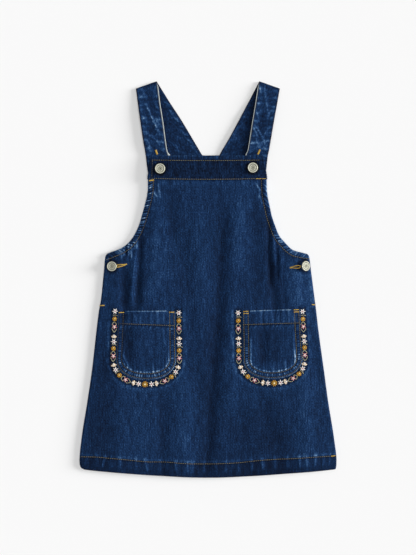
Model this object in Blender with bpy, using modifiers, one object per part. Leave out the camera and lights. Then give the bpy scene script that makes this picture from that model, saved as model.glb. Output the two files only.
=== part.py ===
"""A child's denim pinafore dress, laid flat with its front up.

The front is one piece, bib and A-line skirt. It lies on the back with a small air gap, and its folds are
soft ridges and troughs that run down it. Two straps come from the back's top edge, fold over at the
shoulders and go behind the bib, where a tack button holds each one. A band finishes the bib, two patch
pockets lie on the skirt, and one more button closes each side.

+X is to the viewer's right, +Y runs from the hem to the straps, +Z points up out of the front. The origin
is on the surface that the dress lies on, in the middle of its length and width. Tables are in millimetres.
"""

from collections import namedtuple
import math

import bmesh
import bpy
import numpy as np

MM = 0.001

# Cloth. Denim of this weight is about 1 mm thick where it lies in a seam.
PANEL = 1.0
HEM = 1.6
STRAP = 1.5
BAND = 1.4
POCKET = 1.0
POCKET_HEM = 1.5
GAP = 0.3  # between pieces that lie on each other

# Heights on the page, from the middle of the garment's length, and the hem.
BIB_TOP = 173.2
BAND_BOTTOM = 140.0
BAND_SAG = 1.5
BACK_TOP = 166.0
CORNER_FROM, CORNER_TO = 52.0, 30.0  # where the armholes turn into the side seams
HEM_DEPTH = 18.0
HEM_SAG = 11.7  # the hem's middle is this much lower than its ends
HEM_SAG_POWER = 1.5
HALF_HEM = 180.0

# The edges of the front, down from the top of the bib.
Edge = namedtuple("Edge", "y left right")
FRONT_EDGES = [
    Edge(173.2, -80.5, 76.3),
    Edge(160.0, -81.6, 78.8),
    Edge(140.0, -84.0, 82.0),
    Edge(127.4, -84.1, 82.3),
    Edge(116.2, -85.6, 83.5),
    Edge(103.6, -88.7, 86.1),
    Edge(89.6, -92.5, 89.1),
    Edge(75.6, -96.9, 93.8),
    Edge(61.6, -103.6, 99.5),
    Edge(50.4, -112.3, 108.8),
    Edge(43.4, -122.3, 115.7),
    Edge(40.6, -128.9, 120.1),
    Edge(37.8, -137.0, 130.6),
    Edge(35.0, -142.1, 139.8),
    Edge(31.0, -144.0, 141.8),
    Edge(12.6, -145.8, 144.2),
    Edge(-29.4, -150.1, 149.7),
    Edge(-43.4, -152.8, 151.5),
    Edge(-71.4, -156.3, 154.8),
    Edge(-127.4, -162.7, 162.5),
    Edge(-169.4, -168.9, 168.2),
    Edge(-225.4, -177.5, 177.0),
    Edge(-253.4, -HALF_HEM, HALF_HEM),
    Edge(-265.3, -177.4, 178.8),
]

# The back's armholes are cut in deeper than the front's. Below them its edges are the front's.
BACK_ARMHOLE = [
    Edge(BACK_TOP, -68.0, 66.0),
    Edge(140.0, -69.0, 67.0),
    Edge(100.0, -76.0, 74.0),
    Edge(70.0, -90.0, 87.0),
    Edge(50.0, -106.0, 102.0),
    Edge(40.0, -124.0, 116.0),
    Edge(36.0, -137.0, 132.0),
    Edge(31.0, -143.4, 141.2),
]

# The largest folds of the front. Each runs from its top to its bottom end and bows sideways between them.
# A height below 0 is a trough. Spread is the distance from its middle to where it has lost 40 per cent.
Fold = namedtuple("Fold", "top_x top_y bottom_x bottom_y bow spread height")
FOLDS = [
    Fold(30.0, 125.0, 5.0, -290.0, -3.0, 8.0, -2.6),
    Fold(-50.0, 120.0, -4.0, -175.0, -10.0, 9.0, -1.2),
    Fold(52.0, 125.0, 34.0, -60.0, 0.0, 9.0, 1.0),
    Fold(-15.0, 120.0, -8.0, -100.0, 0.0, 9.0, 0.7),
    Fold(-42.0, -110.0, -20.0, -290.0, 0.0, 10.0, 1.2),
    Fold(36.0, -80.0, 28.0, -290.0, 0.0, 10.0, 1.0),
    Fold(-93.0, 75.0, -99.0, -40.0, 0.0, 7.0, -1.8),
    Fold(-116.0, 38.0, -110.0, -150.0, 0.0, 7.0, -1.3),
    Fold(84.0, 95.0, 98.0, -130.0, 3.0, 7.0, -1.9),
    Fold(110.0, 28.0, 118.0, -60.0, 0.0, 7.0, 0.7),
    Fold(-60.0, -195.0, -66.0, -290.0, 0.0, 9.0, -1.2),
    Fold(-152.0, -130.0, -160.0, -290.0, 0.0, 9.0, -0.8),
    Fold(72.0, -140.0, 112.0, -290.0, 0.0, 10.0, -0.9),
    Fold(134.0, -120.0, 142.0, -290.0, 0.0, 10.0, 0.7),
]
FRONT_LIFT = 2.4  # the front's mean air gap over the back, in the middle
LEAST_LIFT = 0.3
MOST_LIFT = 3.7
EDGE_WIDTH = 26.0  # over which the front comes down to the back at its side seams
STRAP_LIFT = 3.9  # the front's underside over the back where the strap ends lie between them
STRAP_LIFT_FROM = 134.0
STRAP_LIFT_FADE = 46.0

# Cross sections of the straps: outer and inner edge, and the height of the underside. The back run lies on
# the surface and then on the back's top edge. The front run arches off it before it goes under the bib.
Section = namedtuple("Section", "outer_x outer_y inner_x inner_y z")
ON_BACK = PANEL + GAP
UNDER_BIB = ON_BACK + STRAP + GAP
LEFT_BACK_RUN = [
    Section(-58.0, 156.0, 2.4, 156.0, ON_BACK),
    Section(-59.0, 167.0, -4.0, 167.0, ON_BACK),
    Section(-62.0, 178.0, -11.0, 179.0, 0.0),
    Section(-69.0, 197.0, -21.6, 197.0, 0.0),
    Section(-79.0, 220.0, -36.9, 222.6, 0.0),
    Section(-90.0, 243.0, -54.0, 248.8, 0.0),
]
LEFT_FRONT_RUN = [
    Section(-97.6, 242.0, -65.5, 245.0, 3.4),
    Section(-94.9, 222.6, -62.0, 222.6, 4.8),
    Section(-90.8, 194.6, -57.6, 194.6, 5.0),
    Section(-88.3, 180.6, -55.5, 180.6, 3.8),
    Section(-87.1, 173.0, -54.6, 173.0, UNDER_BIB),
    Section(-84.6, 152.6, -54.6, 152.6, UNDER_BIB),
    Section(-80.0, 136.0, -57.0, 136.0, UNDER_BIB),
]
LEFT_SHOULDER = Section(-101.3, 266.6, -72.0, 277.0, 0.0)
RIGHT_BACK_RUN = [
    Section(60.0, 156.0, 6.0, 156.0, ON_BACK),
    Section(61.0, 167.0, 12.3, 167.0, ON_BACK),
    Section(63.5, 178.0, 19.2, 179.0, 0.0),
    Section(69.5, 197.0, 29.7, 197.0, 0.0),
    Section(79.0, 220.0, 43.6, 222.6, 0.0),
    Section(89.5, 243.0, 57.3, 248.8, 0.0),
]
RIGHT_FRONT_RUN = [
    Section(95.6, 242.0, 66.2, 245.0, 3.6),
    Section(92.0, 222.6, 62.1, 222.6, 5.2),
    Section(87.3, 194.6, 57.1, 194.6, 5.4),
    Section(84.9, 180.6, 54.6, 180.6, 4.0),
    Section(83.7, 173.0, 53.2, 173.0, UNDER_BIB),
    Section(81.2, 152.6, 53.6, 152.6, UNDER_BIB),
    Section(78.0, 136.0, 56.0, 136.0, UNDER_BIB),
]
RIGHT_SHOULDER = Section(100.8, 266.6, 72.0, 277.0, 0.0)

# The pockets, turned about the middle of their top edge.
Patch = namedtuple("Patch", "name x y turn")
POCKETS = [
    Patch("pocket_left", -85.9, -43.6, 0.0),
    Patch("pocket_right", 87.4, -42.4, 2.0),
]
POCKET_WIDTH = 78.5  # at the top edge
POCKET_FLARE = 4.0  # how much wider the pocket is at its bottom
POCKET_SIDE = 67.0
POCKET_DEPTH = 96.0
POCKET_HEM_DEPTH = 19.0
POCKET_ROUND_POWER = 2.2

# Tack buttons: a pressed cap on a short neck. The side buttons lean outwards, the right one on a longer neck.
Button = namedtuple("Button", "name x y radius neck lean seat")
BUTTONS = [
    Button("button_bib_left", -66.6, 154.3, 7.8, 1.2, 0.0, "band"),
    Button("button_bib_right", 62.4, 155.8, 7.8, 1.2, 0.0, "band"),
    Button("button_side_left", -133.6, 18.5, 7.4, 1.2, -7.0, "front"),
    Button("button_side_right", 133.6, 18.8, 7.4, 3.2, 22.0, "front"),
]
BUTTON_CAP = 2.8
BUTTON_NECK_RADIUS = 3.6
BUTTON_FACETS = 28

# How finely the grids are divided, across and, for the straps and pockets, along.
FRONT_COLUMNS = 44
BACK_COLUMNS = 10
BAND_ROWS = 4
STRAP_COLUMNS = 6
STRAP_ROWS = 15
SHOULDER_ROWS = 6
POCKET_COLUMNS = 14
POCKET_ROWS = 11
CROWDING = 0.6  # how much the pocket's columns crowd towards its rounded corners

# Colours as linear RGB, with roughness and metallic.
Finish = namedtuple("Finish", "colour roughness metallic")
DENIM = Finish((0.011, 0.026, 0.078), 0.85, 0.0)
DARK_DENIM = Finish((0.007, 0.014, 0.041), 0.85, 0.0)
PALE_DENIM = Finish((0.020, 0.040, 0.105), 0.85, 0.0)
AGED_METAL = Finish((0.42, 0.43, 0.36), 0.45, 0.9)


def clear_scene():
    for thing in list(bpy.data.objects):
        bpy.data.objects.remove(thing)


def smooth(knots, values, at):
    """A monotone cubic through (knots, values): it never swings past a value of its own table."""
    knots, values = np.asarray(knots, float), np.asarray(values, float)
    if knots[0] > knots[-1]:
        knots, values = knots[::-1], values[::-1]
    step = np.diff(knots)
    slope = np.diff(values) / step
    before, after = slope[:-1], slope[1:]
    agree = before * after > 0
    total = np.where(agree, before + after, 1.0)
    middle = np.where(agree, 2 * before * after / total, 0.0)
    tangent = np.concatenate([slope[:1], middle, slope[-1:]])
    at = np.clip(at, knots[0], knots[-1])
    i = np.clip(np.searchsorted(knots, at, side="right") - 1, 0, len(step) - 1)
    t = (at - knots[i]) / step[i]
    left = values[i] * (1 + 2 * t) * (1 - t) ** 2 + values[i + 1] * t * t * (3 - 2 * t)
    return left + step[i] * (tangent[i] * t * (1 - t) ** 2 - tangent[i + 1] * t * t * (1 - t))


def soft_step(t):
    t = np.clip(t, 0.0, 1.0)
    return t * t * (3 - 2 * t)


def fold_height(x, y):
    """The sum of all folds: each is a bell across its own line, faded in and out along it."""
    height = np.zeros_like(x)
    for fold in FOLDS:
        t = (fold.top_y - y) / (fold.top_y - fold.bottom_y)
        inside = np.clip(t, 0.0, 1.0)
        middle = fold.top_x + (fold.bottom_x - fold.top_x) * inside + 4 * fold.bow * inside * (1 - inside)
        along = soft_step(4 * t) * soft_step(4 * (1 - t))
        height += fold.height * along * np.exp(-(((x - middle) / fold.spread) ** 2) / 2)
    return height


def front_underside(x, y, left, right):
    """Height of the front's underside: folded in the middle, low at the side seams, high over the straps."""
    from_edge = np.minimum(x - left, right - x) / EDGE_WIDTH
    free = LEAST_LIFT + soft_step(from_edge) * (FRONT_LIFT - LEAST_LIFT + fold_height(x, y))
    over_straps = soft_step((y - STRAP_LIFT_FROM) / STRAP_LIFT_FADE + 1)
    lift = np.clip(free, LEAST_LIFT, MOST_LIFT)
    return PANEL + lift + (STRAP_LIFT - lift) * over_straps


def edge_rows(edges, y):
    table = np.array(edges)
    return smooth(table[:, 0], table[:, 1], y), smooth(table[:, 0], table[:, 2], y)


def sagged(x, y):
    """Rows bow down in the middle, more and more towards the hem."""
    low = FRONT_EDGES[-1].y
    share = np.clip(y / low, 0.0, 1.0)
    across = np.clip(1 - np.abs(x) / HALF_HEM, 0.0, 1.0)
    bow = 1 - (1 - across) ** HEM_SAG_POWER
    return y - HEM_SAG * bow * share


def levels(*stretches):
    """Row heights, hem first: each stretch is (from, to, number of steps)."""
    rows = [np.linspace(start, end, steps + 1)[:-1] for start, end, steps in stretches]
    return np.concatenate(rows + [[stretches[-1][1]]])


def panel_grid(edges, rows, columns):
    """x and y of a panel's points before its rows sag, and the panel's edges on each row."""
    y = np.repeat(rows[:, None], columns + 1, axis=1)
    left, right = edge_rows(edges, y)
    return left + (right - left) * np.linspace(0, 1, columns + 1), y, left, right


def front_grid(rows):
    """Points of the front's underside, rows from the hem up and columns from the left."""
    x, y, left, right = panel_grid(FRONT_EDGES, rows, FRONT_COLUMNS)
    return np.stack([x, sagged(x, y), front_underside(x, y, left, right)], axis=-1)


def normals_of(points):
    along, across = np.gradient(points, axis=0), np.gradient(points, axis=1)
    normal = np.cross(across, along)
    return normal / np.linalg.norm(normal, axis=-1, keepdims=True)


def moved_out(points, distance):
    return points + normals_of(points) * distance


def front_top_at(x, y):
    """Height of the front's upper face at any place on it."""
    level = y + (y - sagged(x, y))
    left, right = edge_rows(FRONT_EDGES, level)
    return front_underside(x, level, left, right) + PANEL


def material_of(name, finish):
    material = bpy.data.materials.new(name)
    material.use_nodes = True
    shader = material.node_tree.nodes["Principled BSDF"]
    shader.inputs["Base Color"].default_value = (*finish.colour, 1.0)
    shader.inputs["Roughness"].default_value = finish.roughness
    shader.inputs["Metallic"].default_value = finish.metallic
    return material


def cloth(name, points, thickness, finish, offset=1.0, row_share=None):
    """A wall on a grid of points: a Blender grid with its points placed, then Solidify.

    row_share, where given, is each row's share of the thickness.
    """
    rows, columns = points.shape[:2]
    bm = bmesh.new()
    bmesh.ops.create_grid(bm, x_segments=columns - 1, y_segments=rows - 1, size=1.0)
    vert_rows = []
    for vert in bm.verts:
        row = round((vert.co.y + 1) / 2 * (rows - 1))
        column = round((vert.co.x + 1) / 2 * (columns - 1))
        vert_rows.append(row)
        vert.co = points[row, column] * MM
    mesh = bpy.data.meshes.new(name)
    bm.to_mesh(mesh)
    bm.free()
    mesh.shade_smooth()
    mesh.materials.append(material_of(name, finish))
    thing = bpy.data.objects.new(name, mesh)
    dress.objects.link(thing)
    wall = thing.modifiers.new("wall", "SOLIDIFY")
    wall.thickness = thickness * MM
    wall.offset = offset
    if row_share is not None:
        group = thing.vertex_groups.new(name="share")
        for index, row in enumerate(vert_rows):
            group.add([index], float(row_share[row]), "REPLACE")
        wall.vertex_group = "share"


def make_front():
    hem_edge = FRONT_EDGES[-1].y
    hem_line = hem_edge + HEM_DEPTH
    rows = levels(
        (hem_edge, hem_line, 3),
        (hem_line, CORNER_TO, 24),
        (CORNER_TO, CORNER_FROM, 7),
        (CORNER_FROM, BAND_BOTTOM, 9),
        (BAND_BOTTOM, BIB_TOP, BAND_ROWS),
    )
    share = np.where(rows < hem_line, 1.0, PANEL / HEM)
    cloth("front_panel", front_grid(rows), HEM, DENIM, row_share=share)


def make_band():
    """The band lies on the front's own rows, moved out by the front's wall and the gap."""
    points = front_grid(levels((BAND_BOTTOM, BIB_TOP, BAND_ROWS)))
    drop = np.linspace(1, 0, len(points))[:, None]
    across = np.linspace(-1, 1, points.shape[1]) ** 2
    points = moved_out(points, PANEL + GAP)
    points[:, :, 1] -= BAND_SAG * drop * (1 - across)
    cloth("bib_band", points, BAND, DARK_DENIM)


def make_back():
    rows = levels(
        (FRONT_EDGES[-1].y, CORNER_TO, 11),
        (CORNER_TO, CORNER_FROM, 5),
        (CORNER_FROM, BACK_TOP, 5),
    )
    edges = BACK_ARMHOLE + [edge for edge in FRONT_EDGES if edge.y < BACK_ARMHOLE[-1].y]
    x, y, _, _ = panel_grid(edges, rows, BACK_COLUMNS)
    cloth("back_panel", np.stack([x, sagged(x, y), np.zeros_like(x)], axis=-1), PANEL, DENIM)


def run_points(sections):
    """Points of the middle of a strap's wall, smooth through its cross sections."""
    table = np.array(sections)
    at = np.linspace(0, len(sections) - 1, STRAP_ROWS + 1)
    values = [smooth(range(len(sections)), column, at)[:, None] for column in table.T]
    outer_x, outer_y, inner_x, inner_y, z = values
    across = np.linspace(0, 1, STRAP_COLUMNS + 1)
    x = outer_x + (inner_x - outer_x) * across
    y = outer_y + (inner_y - outer_y) * across
    return np.stack([x, y, z + STRAP / 2 + 0 * across], axis=-1)


def make_strap(name, back_run, front_run, shoulder):
    """One strip: up the back run, over the shoulder fold, down the front run."""
    fold = (STRAP + GAP) / 2
    outer = np.array([shoulder.outer_x, shoulder.outer_y])
    inner = np.array([shoulder.inner_x, shoulder.inner_y])
    along = (inner - outer) / np.linalg.norm(inner - outer)
    away = np.array([-along[1], along[0]])
    away *= math.copysign(1.0, away[1])
    outer, inner = (end - away * (fold + STRAP / 2) for end in (outer, inner))
    lower = Section(*outer, *inner, 0.0)
    upper = lower._replace(z=STRAP + GAP)
    up = run_points(back_run + [lower])
    down = run_points([upper] + front_run)
    turn = []
    for angle in np.linspace(-math.pi / 2, math.pi / 2, SHOULDER_ROWS + 1)[1:-1]:
        row = up[-1].copy()
        row[:, :2] += away * fold * math.cos(angle)
        row[:, 2] = STRAP / 2 + fold + fold * math.sin(angle)
        turn.append(row)
    points = np.concatenate([up, np.array(turn), down])
    cloth(name, points, STRAP, PALE_DENIM, offset=0.0)


def make_pocket(patch):
    """Columns hang from the straight top edge and end on the rounded bottom."""
    even = np.linspace(-1, 1, POCKET_COLUMNS + 1)
    across = even + CROWDING * (np.sin(even * math.pi / 2) - even)
    rounding = (1 - np.abs(across) ** POCKET_ROUND_POWER) ** (1 / POCKET_ROUND_POWER)
    length = POCKET_SIDE + (POCKET_DEPTH - POCKET_SIDE) * rounding
    down = np.linspace(1, 0, POCKET_ROWS + 1)[:, None]
    local_y = -down * length
    local_x = across * (POCKET_WIDTH - POCKET_FLARE * local_y / POCKET_DEPTH) / 2
    turn = math.radians(patch.turn)
    x = patch.x + local_x * math.cos(turn) - local_y * math.sin(turn)
    y = patch.y + local_x * math.sin(turn) + local_y * math.cos(turn)
    z = front_top_at(x, y) + GAP
    share = np.where(down[:, 0] * POCKET_DEPTH < POCKET_HEM_DEPTH, 1.0, POCKET / POCKET_HEM)
    cloth(patch.name, np.stack([x, y, z], axis=-1), POCKET_HEM, DENIM, row_share=share)


def button_profile(radius, neck):
    """Half of the button's outline, from the middle of its face down to the foot of its neck."""
    top = neck + BUTTON_CAP
    return [
        (0.0, top - 0.9),
        (0.20 * radius, top - 0.9),
        (0.30 * radius, top - 0.5),
        (0.62 * radius, top - 0.7),
        (0.80 * radius, top),
        (0.94 * radius, top - 0.4),
        (radius, top - 1.4),
        (0.92 * radius, neck),
        (BUTTON_NECK_RADIUS, neck),
        (BUTTON_NECK_RADIUS, 0.0),
        (0.0, 0.0),
    ]


def seat_height(button, lean):
    """Where the neck's foot clears the cloth under it all round."""
    round_foot = np.linspace(0, 2 * math.pi, BUTTON_FACETS)
    across = BUTTON_NECK_RADIUS * np.cos(round_foot)
    cloth_top = front_top_at(button.x + across, button.y + BUTTON_NECK_RADIUS * np.sin(round_foot))
    height = float(np.max(cloth_top + across * math.sin(lean))) + GAP
    return height + (BAND + GAP if button.seat == "band" else 0.0)


def make_button(button):
    profile = button_profile(button.radius, button.neck)
    mesh = bpy.data.meshes.new(button.name)
    edges = [(i, i + 1) for i in range(len(profile) - 1)]
    mesh.from_pydata([(r * MM, 0.0, z * MM) for r, z in profile], edges, [])
    mesh.materials.append(material_of(button.name, AGED_METAL))
    thing = bpy.data.objects.new(button.name, mesh)
    dress.objects.link(thing)
    turned = thing.modifiers.new("turned", "SCREW")
    turned.axis = "Z"
    turned.steps = turned.render_steps = BUTTON_FACETS
    turned.use_merge_vertices = True
    turned.merge_threshold = 0.00001
    lean = math.radians(button.lean)
    thing.location = (button.x * MM, button.y * MM, seat_height(button, lean) * MM)
    thing.rotation_euler = (0.0, lean, 0.0)


clear_scene()
dress = bpy.data.collections.new("denim_pinafore_dress")
bpy.context.scene.collection.children.link(dress)
make_back()
make_strap("strap_left", LEFT_BACK_RUN, LEFT_FRONT_RUN, LEFT_SHOULDER)
make_strap("strap_right", RIGHT_BACK_RUN, RIGHT_FRONT_RUN, RIGHT_SHOULDER)
make_front()
make_band()
for pocket in POCKETS:
    make_pocket(pocket)
for tack in BUTTONS:
    make_button(tack)
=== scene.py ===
# %% [markdown]
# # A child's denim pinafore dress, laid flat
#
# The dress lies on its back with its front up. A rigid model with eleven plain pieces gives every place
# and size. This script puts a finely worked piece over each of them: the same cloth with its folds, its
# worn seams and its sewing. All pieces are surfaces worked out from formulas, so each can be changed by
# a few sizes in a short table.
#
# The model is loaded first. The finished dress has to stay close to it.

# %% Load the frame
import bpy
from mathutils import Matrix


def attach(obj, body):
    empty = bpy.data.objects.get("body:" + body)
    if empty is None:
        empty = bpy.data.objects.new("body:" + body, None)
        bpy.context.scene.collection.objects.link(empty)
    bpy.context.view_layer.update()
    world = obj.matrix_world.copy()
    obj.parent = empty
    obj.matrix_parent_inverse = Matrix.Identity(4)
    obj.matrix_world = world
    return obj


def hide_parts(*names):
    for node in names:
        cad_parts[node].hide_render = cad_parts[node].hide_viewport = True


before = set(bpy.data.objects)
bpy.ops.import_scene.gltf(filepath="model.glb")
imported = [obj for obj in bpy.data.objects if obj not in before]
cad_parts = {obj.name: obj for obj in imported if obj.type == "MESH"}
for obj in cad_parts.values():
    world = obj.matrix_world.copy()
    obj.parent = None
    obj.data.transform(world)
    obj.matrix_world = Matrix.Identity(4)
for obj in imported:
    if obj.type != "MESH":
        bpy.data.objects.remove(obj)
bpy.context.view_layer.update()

# %% [markdown]
# Sizes are in millimetres on the page: x to the right, y up from the middle of the length, z out of the
# cloth. One number turns them to metres, at the moment when a mesh is made.

# %% Modules and the unit
import math
from collections import namedtuple

import bpy
import numpy as np

MM = 0.001

# %% [markdown]
# ## A few small curves
#
# Most shapes here are sums of a few curves. `smooth` runs through the rows of a table and never swings
# past them, which keeps a cut edge clean. `soft_step` goes from 0 to 1 without a corner. `bell` is a
# single rounded hump, the section of a fold, and `hump` is one that starts and ends at 0. `rolled` rises
# like a quarter of a circle, the section of a turned edge. `stacked` puts arrays side by side as points.

# %% Curves


def smooth(knots, values, at):
    """A monotone cubic through (knots, values): harmonic mean slopes, and level where the table turns."""
    knots, values = np.asarray(knots, float), np.asarray(values, float)
    if knots[0] > knots[-1]:
        knots, values = knots[::-1], values[::-1]
    step = np.diff(knots)
    slope = np.diff(values) / step
    before, after = slope[:-1], slope[1:]
    agree = before * after > 0
    total = np.where(agree, before + after, 1.0)
    tangent = np.concatenate([slope[:1], np.where(agree, 2 * before * after / total, 0.0), slope[-1:]])
    at = np.clip(at, knots[0], knots[-1])
    i = np.clip(np.searchsorted(knots, at, side="right") - 1, 0, len(step) - 1)
    t = (at - knots[i]) / step[i]
    value = values[i] * (1 + 2 * t) * (1 - t) ** 2 + values[i + 1] * t * t * (3 - 2 * t)
    return value + step[i] * (tangent[i] * t * (1 - t) ** 2 - tangent[i + 1] * t * t * (1 - t))


def soft_step(t):
    """0 below 0, 1 above 1, and 3t^2 - 2t^3 between."""
    t = np.clip(t, 0.0, 1.0)
    return t * t * (3 - 2 * t)


def bell(t):
    """exp(-t^2 / 2): 1 in the middle, 0.6 one spread away, nearly 0 at three."""
    return np.exp(-t * t / 2)


def hump(t):
    """Half a sine wave: 0 at 0, 1 halfway and 0 again at 1."""
    return np.sin(np.pi * np.clip(t, 0, 1))


def rolled(t):
    """A quarter of a circle: straight up at 0, level at 1."""
    return np.sqrt(np.maximum(1 - (1 - np.clip(t, 0, 1)) ** 2, 0.0))


def within(value, low, high, soft):
    """1 from low to high, fading to 0 over the soft distance outside them."""
    return soft_step((value - low) / soft + 1) * soft_step((high - value) / soft + 1)


def stacked(*parts):
    """Arrays or numbers of one shape, or spread to it, side by side along a new last axis."""
    return np.stack(np.broadcast_arrays(*parts), axis=-1)


# %% [markdown]
# ## The cut of the front
#
# A pattern cutter draws the bib, the armholes and the A-line skirt as one outline. Here it is a table of
# heights with the left and the right edge. The garment isn't quite even, so the two sides have their own
# columns. The hem is cut on a curve: its middle is lower than its ends, and every row above it bows a
# little less, up to the middle of the dress.

# %% Outline of the front
FRONT_EDGES = [  # row, left edge, right edge
    (173.2, -80.5, 76.3), (160, -81.6, 78.8), (140, -84, 82), (127.4, -84.1, 82.3), (116.2, -85.6, 83.5),
    (103.6, -88.7, 86.1), (89.6, -92.5, 89.1), (75.6, -96.9, 93.8), (61.6, -103.6, 99.5),
    (50.4, -112.3, 108.8), (43.4, -122.3, 115.7), (40.6, -128.9, 120.1), (37.8, -137, 130.6),
    (35, -142.1, 139.8), (31, -144, 141.8), (12.6, -145.8, 144.2), (-29.4, -150.1, 149.7),
    (-43.4, -152.8, 151.5), (-71.4, -156.3, 154.8), (-127.4, -162.7, 162.5), (-169.4, -168.9, 168.2),
    (-225.4, -177.5, 177), (-253.4, -180, 180), (-258.5, -179.7, 179.9), (-261.8, -178.8, 179.6),
    (-263.9, -177.2, 179.2), (-265.3, -173.6, 178.8),
]
BIB_TOP, LOW = FRONT_EDGES[0][0], FRONT_EDGES[-1][0]
HALF_HEM = 180.0
HEM_SAG = 11.7  # the hem's middle is this much lower than its ends
HEM_SAG_POWER = 1.5


def edges_at(table, level):
    """The left and right edge at a row, smooth through the table."""
    rows, left, right = np.array(table).T
    return smooth(rows, left, level), smooth(rows, right, level)


def hem_bow(x):
    """How far the hem hangs below its ends: a power of the distance from the side."""
    across = np.clip(1 - np.abs(x) / HALF_HEM, 0.0, 1.0)
    return HEM_SAG * (1 - (1 - across) ** HEM_SAG_POWER)


def page_y(x, level):
    """A row's height on the page: rows below the middle sag by their share of the hem's bow."""
    return level - hem_bow(x) * np.clip(level / LOW, 0.0, 1.0)


def level_of(x, y):
    """The row that passes through a place on the page, the other way round."""
    return np.where(y < 0, y / (1 - hem_bow(x) / LOW), y)


# %% [markdown]
# ## Where the seams run
#
# Puckers follow the seams, so each place on the cloth needs two facts: how far it is from the edge, and how
# far along the edge it lies. Both come from the edge drawn as a line of points: the nearest point is found
# for all places at once, and a step along the line's own direction makes the answer exact.

# %% Distance to a line
NEAREST_BLOCK = 4000  # so many places at once, to save memory


def length_along(line):
    """Length from the start of a line to each of its points."""
    return np.concatenate([[0.0], np.cumsum(np.linalg.norm(np.diff(line, axis=0), axis=1))])


def unit(vectors):
    """The same directions, each 1 long."""
    return vectors / np.linalg.norm(vectors, axis=-1, keepdims=True)


def directions(line):
    """Unit tangents of a line of points."""
    return unit(np.gradient(line, axis=0))


def left_of(vectors):
    """Vectors on the page turned a quarter to the left."""
    return stacked(-vectors[..., 1], vectors[..., 0])


def nearest(x, y, line):
    """Distance to a line, and the length along it there."""
    places = stacked(np.ravel(x), np.ravel(y))
    along, tangent = length_along(line), directions(line)
    parts = []
    for block in np.array_split(places, max(1, len(places) // NEAREST_BLOCK)):
        square = ((block[:, None, :] - line[None, :, :]) ** 2).sum(axis=-1)
        best = square.argmin(axis=1)
        off = block - line[best]
        forward = (off * tangent[best]).sum(axis=1)
        sideways = np.sqrt(np.maximum((off**2).sum(axis=1) - forward**2, 0.0))
        parts.append(stacked(sideways, along[best] + forward))
    found = np.concatenate(parts)
    return found[:, 0].reshape(np.shape(x)), found[:, 1].reshape(np.shape(x))


def edge_lines(levels):
    """The left and the right edge of the front as lines of points through the given rows."""
    return [stacked(edge, page_y(edge, levels)) for edge in edges_at(FRONT_EDGES, levels)]


LEFT_SIDE, RIGHT_SIDE = edge_lines(np.linspace(BIB_TOP, LOW, 440))
print("side edges, mm long:", length_along(LEFT_SIDE)[-1].round(1), length_along(RIGHT_SIDE)[-1].round(1))
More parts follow.
